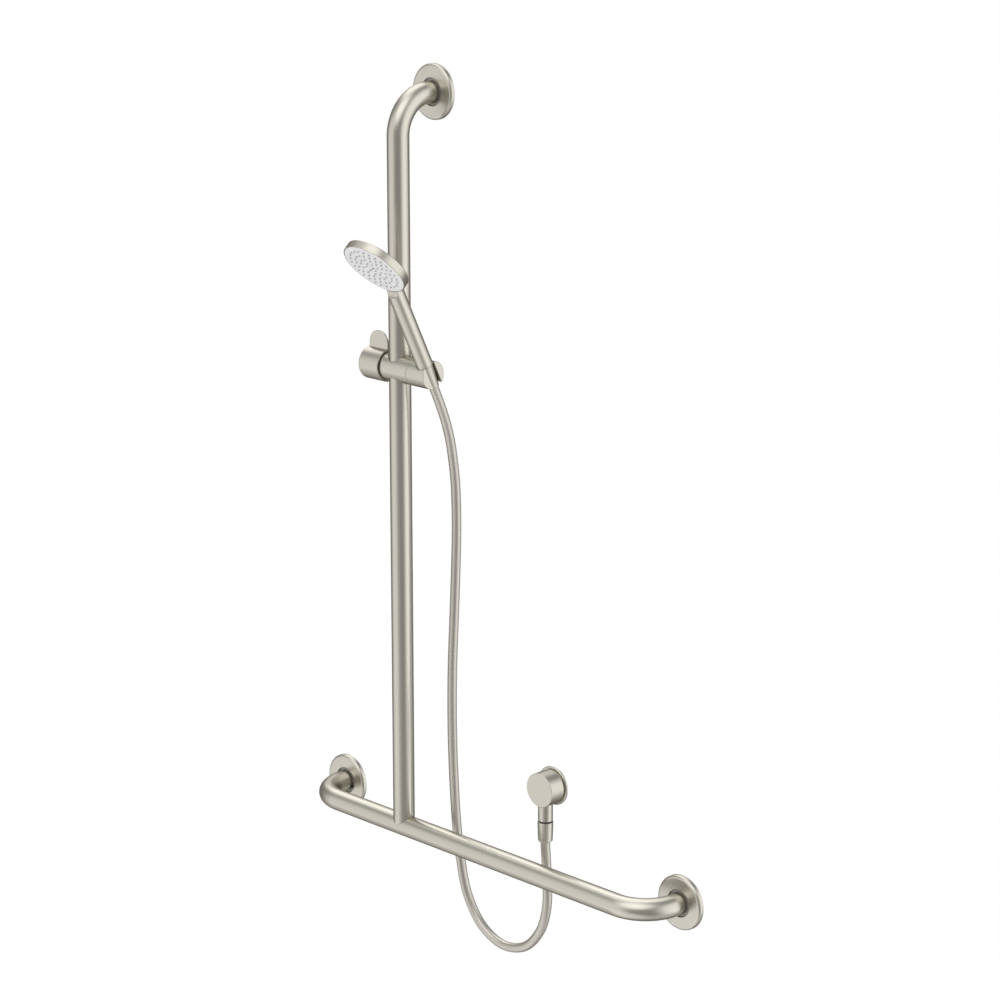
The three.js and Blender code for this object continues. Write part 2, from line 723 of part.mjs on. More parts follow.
function handle() {
  const edge = 0.8;
  const grip = turned(
    [
      [0, HANDLE_BOTTOM],
      [HANDLE_RADIUS - edge, HANDLE_BOTTOM],
      [HANDLE_RADIUS, HANDLE_BOTTOM + edge],
      [HANDLE_RADIUS, HANDLE_TOP],
      [0, HANDLE_TOP],
    ],
    "z",
    MEDIUM_SIDES,
  );
  const side = HANDLE_RADIUS + 1;
  const rimFoot = FACE_FORWARD + HEAD_RADIUS * Math.sin(FACE_TILT);
  const rimFootAlong = FACE_ALONG - HEAD_RADIUS * Math.cos(FACE_TILT);
  const along = (outline) => prism(outline, -side, side).rotateX(Math.PI / 2).rotateZ(Math.PI / 2);
  const scoopCentre = -side - 0.5;
  const scoopRadius = rimFoot - scoopCentre;
  const scoop = rounded(scoopCentre, rimFootAlong, scoopRadius, 0, -90);
  const frontScoop = along([...scoop, [scoopCentre, HANDLE_TOP + 1], [rimFoot, HANDLE_TOP + 1]]);
  const neckStart = 139;
  const neckEnd = 172;
  const neckEndOffset = 4.5;
  const backSlope = along([
    [side, neckStart],
    [side, HANDLE_TOP + 1],
    [-side, HANDLE_TOP + 1],
    [-side, neckEnd],
    [neckEndOffset, neckEnd],
  ]);
  const reach = HEAD_RADIUS; // in front of the face, where nothing of the handle stays
  const head = turned([[0, reach], [HEAD_RADIUS + GAP, reach], ...headOutline(GAP, 0)], "z", LARGE_SIDES);
  head.applyMatrix4(HEAD_PLACE);
  const bore = rod(HANDLE_BORE, HANDLE_BOTTOM - 1, HANDLE_BORE_TOP, "z");
  return mesh("handset_handle", "plated", cut(grip, frontScoop, backSlope, head, bore, waterWay()));
}

function headShell() {
  const inside = HEAD_RADIUS - HEAD_WALL;
  const cavityFloor = -HEAD_RIM_DEPTH + HEAD_WALL;
  const profile = [...headOutline(0, 0)];
  profile.push([0, cavityFloor - HEAD_DOME + HEAD_WALL]);
  profile.push([inside / 2, cavityFloor - 0.6 * HEAD_DOME + HEAD_WALL / 2]);
  profile.push([inside, cavityFloor]);
  profile.push([inside, 0]);
  const shell = turned([...profile, profile[0]], "z", LARGE_SIDES);
  const hole = waterWay().applyMatrix4(HEAD_PLACE.clone().invert());
  return mesh("head_shell", "plated", cut(shell, hole));
}

/** The places of one ring of nozzles. */
function ringPlaces([radius, count]) {
  const places = [];
  for (let i = 0; i < count; i++) {
    const angle = (2 * Math.PI * (i + 0.5)) / count;
    places.push([radius * Math.cos(angle), radius * Math.sin(angle)]);
  }
  return places;
}

/** Every nozzle's place on the face. */
function nozzlePlaces() {
  return NOZZLE_RINGS.flatMap((ring) => ringPlaces(ring));
}

/** A disc with a round outline and a small square hole at each place. */
function holedDisc(radius, holeRadius, places, back, front) {
  const shape = new THREE.Shape().absarc(0, 0, radius, 0, 2 * Math.PI);
  for (const [x, y] of places) {
    const corners = [];
    for (let i = 0; i < NOZZLE_SIDES; i++) {
      const angle = (2 * Math.PI * i) / NOZZLE_SIDES;
      corners.push(new THREE.Vector2(x + holeRadius * Math.cos(angle), y + holeRadius * Math.sin(angle)));
    }
    shape.holes.push(new THREE.Path(corners));
  }
  const geometry = new THREE.ExtrudeGeometry(shape, {
    depth: front - back,
    bevelEnabled: false,
    curveSegments: LARGE_SIDES / 2,
  });
  return geometry.translate(0, 0, back);
}

function facePlate() {
  const disc = holedDisc(FACE_RADIUS, NOZZLE_HOLE, nozzlePlaces(), -FACE_THICKNESS, 0);
  return mesh("face_plate", "face", disc);
}

/** The flexible mat whose nozzles pass through the face plate. */
function nozzleMat() {
  const front = -FACE_THICKNESS - GAP;
  const root = front - MAT_THICKNESS / 2;
  const nozzles = nozzlePlaces().map(([x, y]) =>
    new THREE.CylinderGeometry(NOZZLE_TIP_RADIUS, NOZZLE_RADIUS, NOZZLE_PROUD - root, NOZZLE_SIDES)
      .rotateY(Math.PI / 2)
      .rotateX(Math.PI / 2)
      .translate(x, y, (NOZZLE_PROUD + root) / 2),
  );
  const mat = rod(MAT_RADIUS, front - MAT_THICKNESS, front, "z", LARGE_SIDES);
  return mesh("nozzle_mat", "silicone", join(mat, ...nozzles));
}

const FLOW_PLATE_FRONT = -FACE_THICKNESS - MAT_THICKNESS - 2 * GAP;

function flowPlate() {
  const back = FLOW_PLATE_FRONT - FLOW_PLATE_THICKNESS;
  const disc = holedDisc(FLOW_PLATE_RADIUS, FLOW_HOLE_RADIUS, ringPlaces(FLOW_RING), back, FLOW_PLATE_FRONT);
  return mesh("flow_plate", "plastic", disc);
}

function headSeal() {
  const back = FLOW_PLATE_FRONT - FLOW_PLATE_THICKNESS;
  const outer = HEAD_RADIUS - HEAD_WALL - GAP;
  const ring = pipe(outer, FLOW_PLATE_RADIUS + GAP, back, FLOW_PLATE_FRONT, "z", LARGE_SIDES);
  return mesh("head_seal", "rubber", ring);
}

function handset() {
  const group = new THREE.Group();
  group.position.set(HANDSET_X, 0, 0);
  group.rotation.x = HANDSET_TILT;
  group.add(coneNut(), upperFerrule(), upperWasher(), handleInlet(), filterScreen(), flowRestrictor());
  group.add(waterTube(), handle());
  const head = new THREE.Group();
  head.applyMatrix4(HEAD_PLACE);
  head.add(headShell(), facePlate(), nozzleMat(), flowPlate(), headSeal());
  group.add(head);
  return group;
}

function slider() {
  const group = new THREE.Group();
  group.position.set(0, -TUBE_FROM_WALL, SLIDER_Z);
  group.add(sliderBody(), railBush(), brakePad(), knobRing(), lockKnob(), lockSpindle());
  group.add(holder(), frictionWasher(), tiltBolt(), handset());
  return group;
}

// ---------------------------------------------------------------- wall elbow

function elbowDisc() {
  const edge = 2;
  const profile = [
    [ELBOW_INLET_RADIUS + GAP, -ELBOW_DISC_THICKNESS],
    ...rounded(ELBOW_DISC_RADIUS - edge, -ELBOW_DISC_THICKNESS + edge, edge, -90, 0),
    [ELBOW_DISC_RADIUS, 0],
    [ELBOW_INLET_RADIUS + GAP, 0],
  ];
  return mesh("elbow_wall_disc", "nickel", turned(profile, "y", LARGE_SIDES));
}

/** A round body with its inlet behind and its outlet stub below, and the water way between them. */
function elbowBody() {
  const edge = 1;
  const back = -ELBOW_DISC_THICKNESS - GAP;
  const drum = turned(
    [
      [0, ELBOW_FRONT],
      ...rounded(ELBOW_RADIUS - edge, ELBOW_FRONT + edge, edge, -90, 0),
      [ELBOW_RADIUS, back],
      [0, back],
    ],
    "y",
    LARGE_SIDES,
  );
  const stub = rod(STUB_RADIUS, STUB_BOTTOM, 0, "z").translate(0, STUB_Y, 0);
  const inlet = rod(ELBOW_INLET_RADIUS, ELBOW_FRONT + ELBOW_WALL, 1, "y");
  const down = rod(SPOUT_BORE, STUB_BOTTOM - 1, 0, "z", SMALL_SIDES).translate(0, STUB_Y, 0);
  const socketTop = STUB_BOTTOM + SPOUT_SOCKET_DEPTH;
  const socket = rod(SPOUT_SOCKET, STUB_BOTTOM - 1, socketTop, "z").translate(0, STUB_Y, 0);
  return mesh("elbow_body", "nickel", cut(join(drum, stub), inlet, down, socket));
}

/** The outlet nipple: screwed up into the stub, with the hose nut on its lower thread. */
function outletNipple() {
  const shoulder = STUB_BOTTOM - GAP;
  const top = STUB_BOTTOM + SPOUT_SOCKET_DEPTH - 2 * GAP;
  const profile = [
    [SPOUT_BORE, SPOUT_BOTTOM],
    [SPOUT_THREAD, SPOUT_BOTTOM],
    [SPOUT_THREAD, shoulder],
    [SPOUT_SOCKET - GAP, shoulder],
    [SPOUT_SOCKET - GAP, top],
    [SPOUT_BORE, top],
  ];
  return mesh("outlet_nipple", "brass", turned(profile, "z"));
}

function sealRing() {
  const top = STUB_BOTTOM - GAP;
  const ring = pipe(STUB_RADIUS - GAP, SPOUT_THREAD + GAP, top - SEAL_THICKNESS, top, "z");
  return mesh("elbow_seal_ring", "rubber", ring);
}

/** The check valve's cage, with its seat at the top. */
function valveCage() {
  const outer = SPOUT_BORE - GAP;
  const seatBottom = CAGE_TOP - CAGE_SEAT;
  const profile = [
    [CAGE_SEAT_RADIUS, CAGE_TOP],
    [outer, CAGE_TOP],
    [outer, CAGE_BOTTOM],
    [CAGE_BORE, CAGE_BOTTOM],
    [CAGE_BORE, seatBottom],
    [CAGE_SEAT_RADIUS, seatBottom],
  ];
  return mesh("check_valve_cage", "plastic", turned(profile, "z", SMALL_SIDES));
}

function valvePoppet() {
  const top = CAGE_TOP - CAGE_SEAT - GAP;
  const profile = [
    [0, top],
    [POPPET_RADIUS, top],
    [POPPET_RADIUS, top - POPPET_RIM],
    [POPPET_STEM_RADIUS, top - 2 * POPPET_RIM],
    [POPPET_STEM_RADIUS, top - POPPET_LENGTH],
    [0, top - POPPET_LENGTH],
  ];
  return mesh("check_valve_poppet", "plastic", turned(profile, "z", SMALL_SIDES));
}

/** The round nut at the hose's lower end. */
function lowerNut() {
  const lip = 2;
  const edge = 0.4;
  const top = STUB_BOTTOM - SEAL_THICKNESS - 2 * GAP;
  const shoulder = LOWER_FERRULE_TOP - LOWER_FERRULE_FLANGE - GAP;
  const hole = HOSE_RADIUS + LOWER_NUT_PLAY;
  const thread = SPOUT_THREAD + GAP;
  const profile = [
    [thread, top],
    [LOWER_NUT_RADIUS - edge, top],
    [LOWER_NUT_RADIUS, top - edge],
    ...rounded(LOWER_NUT_END_RADIUS - lip, LOWER_NUT_BOTTOM + lip, lip, 0, -90),
    [hole, LOWER_NUT_BOTTOM],
    [hole, shoulder],
    [thread, shoulder],
  ];
  return mesh("hose_lower_nut", "nickel", turned(profile, "z"));
}

function lowerWasher() {
  const top = SPOUT_BOTTOM - GAP;
  const bottom = top - LOWER_WASHER_THICKNESS;
  const washer = pipe(SPOUT_THREAD - GAP, LOWER_WASHER_BORE, bottom, top, "z", SMALL_SIDES);
  return mesh("lower_hose_washer", "rubber", washer);
}

function lowerFerrule() {
  const flange = SPOUT_THREAD - GAP;
  const flangeBottom = LOWER_FERRULE_TOP - LOWER_FERRULE_FLANGE;
  const bottom = HOSE_ROUTE[HOSE_ROUTE.length - 1][2] - ELBOW_Z + GAP;
  const profile = [
    [HOSE_BORE, bottom],
    [HOSE_RADIUS, bottom],
    [HOSE_RADIUS, flangeBottom],
    [flange, flangeBottom],
    [flange, LOWER_FERRULE_TOP],
    [HOSE_BORE, LOWER_FERRULE_TOP],
  ];
  return mesh("lower_hose_ferrule", "brass", turned(profile, "z", SMALL_SIDES));
}

function elbow() {
  const group = new THREE.Group();
  group.position.set(ELBOW_X, 0, ELBOW_Z);
  const spout = new THREE.Group();
  spout.position.y = STUB_Y;
  spout.add(outletNipple(), sealRing(), valveCage(), valvePoppet());
  spout.add(lowerNut(), lowerWasher(), lowerFerrule());
  group.add(elbowDisc(), elbowBody(), spout);
  return group;
}

// ---------------------------------------------------------------- hose

/** Hangs from the cone nut, passes behind the lower rail and loops up to the elbow. */
function hose() {
  const route = new THREE.CatmullRomCurve3(HOSE_ROUTE.map((point) => new THREE.Vector3(...point)));
  const section = new THREE.Shape().absarc(0, 0, HOSE_RADIUS, 0, 2 * Math.PI);
  const geometry = new THREE.ExtrudeGeometry(section, {
    steps: HOSE_STEPS,
    curveSegments: HOSE_SIDES / 2,
    bevelEnabled: false,
    extrudePath: route,
  });
  return mesh("shower_hose", "hose", geometry);
}

// ---------------------------------------------------------------- the set

const showerSet = new THREE.Group();
showerSet.add(verticalTube(), lowerTube());
showerSet.add(wallFixing("top", 0, 0));
showerSet.add(wallFixing("left", LEFT_X, LOWER_Z), wallFixing("right", RIGHT_X, LOWER_Z));
showerSet.add(slider(), elbow(), hose());

export default showerSet;
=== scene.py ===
"""Hand shower set on an inverted-T grab rail: its looks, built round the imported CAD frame.

Shapes are given in millimetres, the hose's route and the camera in metres, and all is made in the
CAD's own frame: +Z up, +X along the lower rail, the wall at y = 0. Every visible CAD node that is only
faceted is replaced by a fine mesh of the same size.
"""
import json
import math

import bmesh
import bpy
from mathutils import Matrix, Vector


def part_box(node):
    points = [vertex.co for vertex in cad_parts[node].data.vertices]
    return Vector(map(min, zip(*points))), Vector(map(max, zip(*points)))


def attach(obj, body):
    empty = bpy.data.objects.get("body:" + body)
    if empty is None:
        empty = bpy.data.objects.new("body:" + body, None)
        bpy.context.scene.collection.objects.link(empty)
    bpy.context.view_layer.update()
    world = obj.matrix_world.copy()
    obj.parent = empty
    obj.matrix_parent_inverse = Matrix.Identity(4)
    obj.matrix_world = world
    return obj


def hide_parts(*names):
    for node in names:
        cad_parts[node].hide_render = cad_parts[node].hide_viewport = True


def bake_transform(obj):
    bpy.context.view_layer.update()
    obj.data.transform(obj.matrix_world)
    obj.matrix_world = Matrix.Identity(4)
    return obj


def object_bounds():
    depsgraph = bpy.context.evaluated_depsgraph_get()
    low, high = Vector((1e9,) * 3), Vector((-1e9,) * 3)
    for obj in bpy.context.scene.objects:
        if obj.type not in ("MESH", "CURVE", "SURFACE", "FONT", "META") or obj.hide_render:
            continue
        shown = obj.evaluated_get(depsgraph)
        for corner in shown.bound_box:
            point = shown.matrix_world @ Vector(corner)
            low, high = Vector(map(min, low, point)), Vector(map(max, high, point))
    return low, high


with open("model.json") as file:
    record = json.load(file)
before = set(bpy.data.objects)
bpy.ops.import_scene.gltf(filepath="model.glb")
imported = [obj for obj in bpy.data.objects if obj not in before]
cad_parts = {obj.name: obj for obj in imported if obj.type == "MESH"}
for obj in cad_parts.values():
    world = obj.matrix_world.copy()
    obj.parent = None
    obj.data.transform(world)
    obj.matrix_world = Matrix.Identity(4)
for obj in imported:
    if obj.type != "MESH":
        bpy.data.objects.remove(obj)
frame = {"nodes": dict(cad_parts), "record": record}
cad_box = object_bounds()

# ---------------------------------------------------------------- sizes, in millimetres

MM = 0.001
SEGMENTS = 96  # round a turned piece
SMALL_SEGMENTS = 40
HOLE_SEGMENTS = 20
NOZZLE_SEGMENTS = 16
ARC_STEP = math.radians(15)  # between points of a rounded edge
SHARP_ANGLE = math.radians(32)
ON_AXIS = 1e-6  # a profile's point nearer than this is on the axis
MERGE_DISTANCE = 0.02
GAP = 0.3  # between pieces that touch
PAST = 1  # how far a cutting shape runs past the face it cuts

# How far small edges are rounded
TIGHT_EDGE = 0.2
FINE_EDGE = 0.3
SMALL_EDGE = 0.4
ROUND_EDGE = 0.5
CUT_EDGE = 0.35  # where something was cut out

TUBE_RADIUS = 16
BEND_RADIUS = 57
BEND_STEP = math.radians(3)
STRAIGHT_STEP = 40
TUBE_SIDES = 72

PLATE_RADIUS = 37
PLATE_THICKNESS = 5
PLATE_HOLE_RADIUS = 2.7
PLATE_SINK_RADIUS = 4.8
SINK_FLOOR = -2.9  # where the countersink has narrowed to the hole
SCREW_CIRCLE_RADIUS = 27
SCREWS_PER_PLATE = 3
SCREW_HEAD_RADIUS = 4.4
SCREW_HEAD_EDGE = 0.15
SCREW_SHANK_RADIUS = 2.3
SOCKET_RADIUS = 1.7
SOCKET_FLOOR = -3.4
COVER_RADIUS = 40
COVER_DEPTH = 8.3
COVER_WALL = 1.2
COVER_HOLE = 20.3
COVER_EDGE = 4.5

SLIDER_RADIUS = 20.6
SLIDER_LEFT = -21.2
SLIDER_RIGHT = 32.9
JOINT_EDGE = 0.25  # where the slider and the holder meet
SPIGOT_RADIUS = 13
SPIGOT_LEFT = -33
RAIL_BORE = 16.6
BUSH_BORE = 17.7
BUSH_BORE_HALF_HEIGHT = 10.8
PAD_BORE = 6.4
BOLT_BORE = 3.3
BOLT_BORE_RIGHT = 34
CROSS_BORE_END = 10  # inside the rail's bore
KNOB_RADIUS = 24.1
KNOB_LEFT = -63
KNOB_RIGHT = -22.7
KNOB_EDGE = 3
KNOB_BORE = 13.3
KNOB_BORE_LEFT = -34
SPINDLE_BORE = 4.8
SPINDLE_BORE_LEFT = -56.3
PADDLE_LEFT = -58.9
PADDLE_RIGHT = -20.7
PADDLE_TOP = 49.6
PADDLE_FOOT = 18
PADDLE_DEPTHS = (1.5, 4.6)  # its back and front, from the knob's axis towards the front
PADDLE_EDGE = 0.6
PADDLE_ARC_STEPS = 40

HOLDER_LEFT = 33.3
HOLDER_RIGHT = 69.1
HOLDER_EDGE = 1
SEAT_BOTTOM = -21
SEAT_BOTTOM_RADIUS = 8.65
SEAT_TOP = 16.3
SEAT_TOP_RADIUS = 11.65
CUP_RADIUS = 12.7
SLOT_WIDTH = 19
POCKET_RADIUS = 11.8
POCKET_ENDS = (32, 34.8)
HOLDER_BOLT_ENDS = (33, 58)
BOLT_HEAD_BORE = 5.9
BOLT_HEAD_ENDS = (40.7, 58)

HANDSET_X = 58.8
HANDSET_TILT = math.radians(26.1)
HOSE_HOLE = 7.3
NUT_BOTTOM_RADIUS = 8.3
NUT_BOTTOM_EDGE = 0.7
NUT_TOP = 16.1
NUT_TOP_RADIUS = 11.3
NUT_SHOULDER = 1.7
NUT_THREAD_RADIUS = 8.7
HANDLE_RADIUS = 12.1
HANDLE_BOTTOM = 16.5
HANDLE_TOP = 190
HANDLE_EDGE = 0.8
HANDLE_BORE = 9.8
HANDLE_BORE_TOP = 128
GROOVE_ALONG = 19.6
GROOVE_HALF_WIDTH = 0.25
GROOVE_DEPTH = 0.22
GROOVE_EDGE = 0.1
SCOOP_STEPS = 12
SCOOP_OUT = 0.5  # how far the scoop's centre is past its cutting shape's side
SLOPE_BOTTOM = 139  # the cut across the back of the handle's top
SLOPE_TOP = 172
SLOPE_FORWARD = 4.5
HEAD_RADIUS = 49.3
HEAD_RIM_DEPTH = 11.8
HEAD_EDGE = 1.6
HEAD_DOME = 7
DOME_STEPS = 24
HEAD_ROOM = 0.08  # between the head and the handle's top
HEAD_ROOM_FRONT = 0.001  # where the rim of that room starts
HEAD_INSIDE = 48.1
INSIDE_RIM = -10.6
INSIDE_SLOPE = (24, -14.2)  # radius and depth of a corner between rim and middle
INSIDE_MIDDLE = -16.4
FACE_FORWARD = -19.8
FACE_ALONG = 193.8
FACE_TILT = math.radians(17.2)
FACE_RADIUS = 47.8
FACE_THICKNESS = 2.6
FACE_EDGE = 0.18
FACE_HOLE_RADIUS = 1.5
MAT_RADIUS = 47
MAT_ENDS = (-4.9, -2.9)
NOZZLE_RINGS = [(3.6, 3), (12, 8), (20.7, 13), (29.5, 19), (38.3, 25)]  # radius and count of each
NOZZLE_FOOT = -3.4
NOZZLE_FOOT_RADIUS = 1.4
NOZZLE_TIP = 1.8
NOZZLE_TIP_RADIUS = 1.15
NOZZLE_MOUTH_RADIUS = 0.45
NOZZLE_FLOOR = 1.1
NOZZLE_FLOOR_RADIUS = 0.35

ELBOW_RADIUS = 25.3
ELBOW_FRONT = -30
ELBOW_EDGE = 0.8
ELBOW_STEP_DEPTH = 1.2  # of the narrow foot in front of the disc
ELBOW_STEP_FRONT = -5.2
ELBOW_STEP_BACK = -4.6
ELBOW_BACK = -3.5
ELBOW_INLET_RADIUS = 9.4
ELBOW_INLET_FRONT = -24
ELBOW_DISC_RADIUS = 28.8
ELBOW_DISC_THICKNESS = 3.2
ELBOW_DISC_HOLE = 9.7
ELBOW_DISC_EDGE = 2
STUB_RADIUS = 10.8
STUB_Y = -16.8
STUB_BOTTOM = -48.6
STUB_BORE = 6
STUB_SOCKET = 8.5
STUB_SOCKET_DEPTH = 14
THREAD_HOLE = 9.5
RING_RADIUS = 10.5
RING_ENDS = (-50.5, -48.9)
LOWER_NUT_TOP = -50.8
LOWER_NUT_RADIUS = 11.6
LOWER_NUT_BOTTOM = -80.8
LOWER_NUT_END_RADIUS = 10.6
LOWER_NUT_END_EDGE = 2.2
LOWER_NUT_HOLE = 7.8
LOWER_NUT_SHOULDER = -66.6

HOSE_DIAMETER = 14
HOSE_SIDES = 32
HOSE_STEPS_PER_SPAN = 14
# The hose's route, in metres, from inside the cone nut to inside the elbow's nut
HOSE_ROUTE = [
    (0.0588, -0.07043, -0.39386),
    (0.0588, -0.0626, -0.4098),
    (0.0591, -0.0533, -0.4306),
    (0.0596, -0.0412, -0.4612),
    (0.0599, -0.0324, -0.4912),
    (0.06, -0.0268, -0.5217),
    (0.06, -0.0227, -0.5524),
    (0.06, -0.0209, -0.5826),
    (0.06, -0.0203, -0.6277),
    (0.06, -0.023, -0.7031),
    (0.06, -0.0261, -0.7632),
    (0.06, -0.0294, -0.8238),
    (0.06, -0.0308, -0.8853),
    (0.06, -0.0303, -0.9477),
    (0.0605, -0.028, -1.0115),
    (0.0625, -0.0246, -1.0826),
    (0.0674, -0.0215, -1.1364),
    (0.0812, -0.0205, -1.1895),
    (0.111, -0.02, -1.23),
    (0.154, -0.0195, -1.248),
    (0.199, -0.019, -1.2372),
    (0.2313, -0.019, -1.2011),
    (0.2438, -0.019, -1.158),
    (0.2422, -0.0185, -1.1023),
    (0.2392, -0.0172, -1.078),
    (0.2378, -0.0168, -1.062),
    (0.2378, -0.0168, -1.0523),
]

# ---------------------------------------------------------------- camera

CAMERA_TARGET = Vector((0.201362, -0.073236, -0.544926))
CAMERA_AZIMUTH = math.radians(44.813)
CAMERA_ELEVATION = math.radians(15.391)
CAMERA_DISTANCE = 4.218356
CAMERA_LENS = 108.67
CAMERA_REACH = 200


def add_camera():
    towards = Vector((
        math.sin(CAMERA_AZIMUTH) * math.cos(CAMERA_ELEVATION),
        -math.cos(CAMERA_AZIMUTH) * math.cos(CAMERA_ELEVATION),
        math.sin(CAMERA_ELEVATION),
    ))
    data = bpy.data.cameras.new("camera")
    data.lens = CAMERA_LENS
    data.clip_end = CAMERA_REACH
    camera = bpy.data.objects.new("camera", data)
    camera.location = CAMERA_TARGET + CAMERA_DISTANCE * towards
    camera.rotation_euler = (-towards).to_track_quat("-Z", "Y").to_euler()
    bpy.context.collection.objects.link(camera)
    bpy.context.scene.camera = camera


# ---------------------------------------------------------------- frames

def moved(x, y, z):
    return Matrix.Translation((x, y, z))


def middle(node):
    """The middle of a CAD node's box, in millimetres."""
    low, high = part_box(node)
    return (Vector(low) + Vector(high)) / 2 / MM


def along_x():
    return Matrix.Rotation(math.pi / 2, 4, "Y")


def along_y():
    return Matrix.Rotation(-math.pi / 2, 4, "X")


lower_low, lower_high = (Vector(corner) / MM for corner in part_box("lower_tube"))
RAIL_Y = lower_low.y + TUBE_RADIUS
LOWER_Z = (lower_low.z + lower_high.z) / 2
LEFT_X = middle("left_wall_plate").x
RIGHT_X = middle("right_wall_plate").x
TUBE_END_Y = lower_high.y

SLIDER = moved(0, RAIL_Y, middle("slider_body").z)
HANDSET = SLIDER @ moved(HANDSET_X, 0, 0) @ Matrix.Rotation(HANDSET_TILT, 4, "X")
HEAD = HANDSET @ moved(0, FACE_FORWARD, FACE_ALONG) @ Matrix.Rotation(math.pi / 2 + FACE_TILT, 4, "X")
ELBOW = moved(middle("elbow_wall_disc").x, 0, middle("elbow_wall_disc").z)
SPOUT = ELBOW @ moved(0, STUB_Y, 0)

# ---------------------------------------------------------------- shapes


class Shape:
    """Points and faces in millimetres, with a surface place for each corner of each face."""

    def __init__(self):
        self.points = []
        self.faces = []
        self.places = []

    def face(self, corners, places):
        """Adds a face, with any corner that comes twice left out."""
        kept = [(c, p) for i, (c, p) in enumerate(zip(corners, places)) if c not in corners[:i]]
        if len(kept) > 2:
            self.faces.append([c for c, _ in kept])
            self.places.append([p for _, p in kept])

    def add(self, other, place=Matrix.Identity(4)):
        """Adds another shape, put in place."""
        first = len(self.points)
        self.points += [tuple(place @ Vector(p)) for p in other.points]
        self.faces += [[first + c for c in corners] for corners in other.faces]
        self.places += other.places
        return self


def rounded(corners, closed):
    """The points of a profile of (radius, along, edge) corners, with each edge as an arc."""
    points = []
    count = len(corners)
    for i, corner in enumerate(corners):
        here = Vector(corner[:2])
        edge = corner[2] if len(corner) > 2 else 0
        if not edge or (not closed and i in (0, count - 1)):
            points.append(here)
            continue
        back = (Vector(corners[i - 1][:2]) - here).normalized()
        on = (Vector(corners[(i + 1) % count][:2]) - here).normalized()
        half = back.angle(on) / 2
        centre = here + (back + on).normalized() * edge / math.sin(half)
        start = here + back * edge / math.tan(half) - centre
        end = here + on * edge / math.tan(half) - centre
        turn = start.angle_signed(end)
        steps = max(2, math.ceil(abs(turn) / ARC_STEP))
        for step in range(steps + 1):
            angle = -turn * step / steps
            points.append(centre + Matrix.Rotation(angle, 2) @ start)
    return points


def turned(corners, segments=SEGMENTS):
    """A solid turned about z. Its profile ends on the axis at both ends, or closes on itself."""
    closed = not (corners[0][0] == 0 and corners[-1][0] == 0)
    profile = rounded(corners, closed)
    reach = max(radius for radius, _ in profile)
    shape = Shape()
    rings = []
    for radius, along in profile:
        first = len(shape.points)
        if radius < ON_AXIS:
            shape.points.append((0, 0, along))
            rings.append([first] * segments)
            continue
        for i in range(segments):
            angle = 2 * math.pi * i / segments
            shape.points.append((radius * math.cos(angle), radius * math.sin(angle), along))
        rings.append(list(range(first, first + segments)))
    length = 0
    count = len(profile)
    for a in range(count if closed else count - 1):
        b = (a + 1) % count
        further = length + (profile[b] - profile[a]).length
        for i in range(segments):
            j = (i + 1) % segments
            left = 2 * math.pi * i / segments * reach
            right = 2 * math.pi * (i + 1) / segments * reach
            shape.face(
                [rings[a][i], rings[a][j], rings[b][j], rings[b][i]],
                [(left, length), (right, length), (right, further), (left, further)],
            )
        length = further
    return shape


def rod(radius, low, high, segments=SEGMENTS):
    return turned([(0, low), (radius, low), (radius, high), (0, high)], segments)


def prism(outline, low, high):
    """A closed outline of (x, y) points, carried along z."""
    shape = Shape()
    count = len(outline)
    shape.points = [(x, y, low) for x, y in outline] + [(x, y, high) for x, y in outline]
    shape.face(list(range(count)), [(x, y) for x, y in outline])
    shape.face([count + i for i in range(count)], [(x, y) for x, y in outline])
    length = 0
    for i in range(count):
        j = (i + 1) % count
        further = length + math.dist(outline[i], outline[j])
        places = [(low, length), (low, further), (high, further), (high, length)]
        shape.face([i, j, count + j, count + i], places)
        length = further
    return shape


def stations(path):
    """Each point of a path with two directions across it and its distance along the path."""
    found = []
    across = None
    along = 0
    for i, point in enumerate(path):
        direction = (path[min(i + 1, len(path) - 1)] - path[max(i - 1, 0)]).normalized()
        if across is None:
            across = direction.orthogonal().normalized()
        else:
            along += (point - path[i - 1]).length
            across = (across - direction * across.dot(direction)).normalized()
        found.append((point, across, direction.cross(across), along))
    return found


def swept(line, radius, sides):
    """A round tube with flat ends along stations."""
    shape = Shape()
    for point, across, other, _ in line:
        for i in range(sides):
            angle = 2 * math.pi * i / sides
            offset = across * math.cos(angle) + other * math.sin(angle)
            shape.points.append(tuple(point + offset * radius))
    for k in range(len(line) - 1):
        for i in range(sides):
            j = (i + 1) % sides
            left = 2 * math.pi * i / sides * radius
            right = 2 * math.pi * (i + 1) / sides * radius
            a, b = line[k][3], line[k + 1][3]
            shape.face(
                [k * sides + i, k * sides + j, (k + 1) * sides + j, (k + 1) * sides + i],
                [(left, a), (right, a), (right, b), (left, b)],
            )
    last = (len(line) - 1) * sides
    shape.face(list(range(sides)), [(0, 0)] * sides)
    shape.face([last + i for i in range(sides)], [(0, 0)] * sides)
    return shape


def bent_path(corners):
    """A path through corners, each but the first and last rounded to the rail's bend radius."""
    path = [corners[0]]
    for i in range(1, len(corners) - 1):
        inward = (corners[i] - corners[i - 1]).normalized()
        outward = (corners[i + 1] - corners[i]).normalized()
        path += straight(path[-1], corners[i] - inward * BEND_RADIUS)
        centre = corners[i] - inward * BEND_RADIUS + outward * BEND_RADIUS
        steps = round(math.pi / 2 / BEND_STEP)
        for step in range(1, steps + 1):
            angle = math.pi / 2 * step / steps
            path.append(centre + BEND_RADIUS * (inward * math.sin(angle) - outward * math.cos(angle)))
    return path + straight(path[-1], corners[-1])


def straight(start, end):
    steps = max(1, round((end - start).length / STRAIGHT_STEP))
    return [start.lerp(end, (i + 1) / steps) for i in range(steps)]


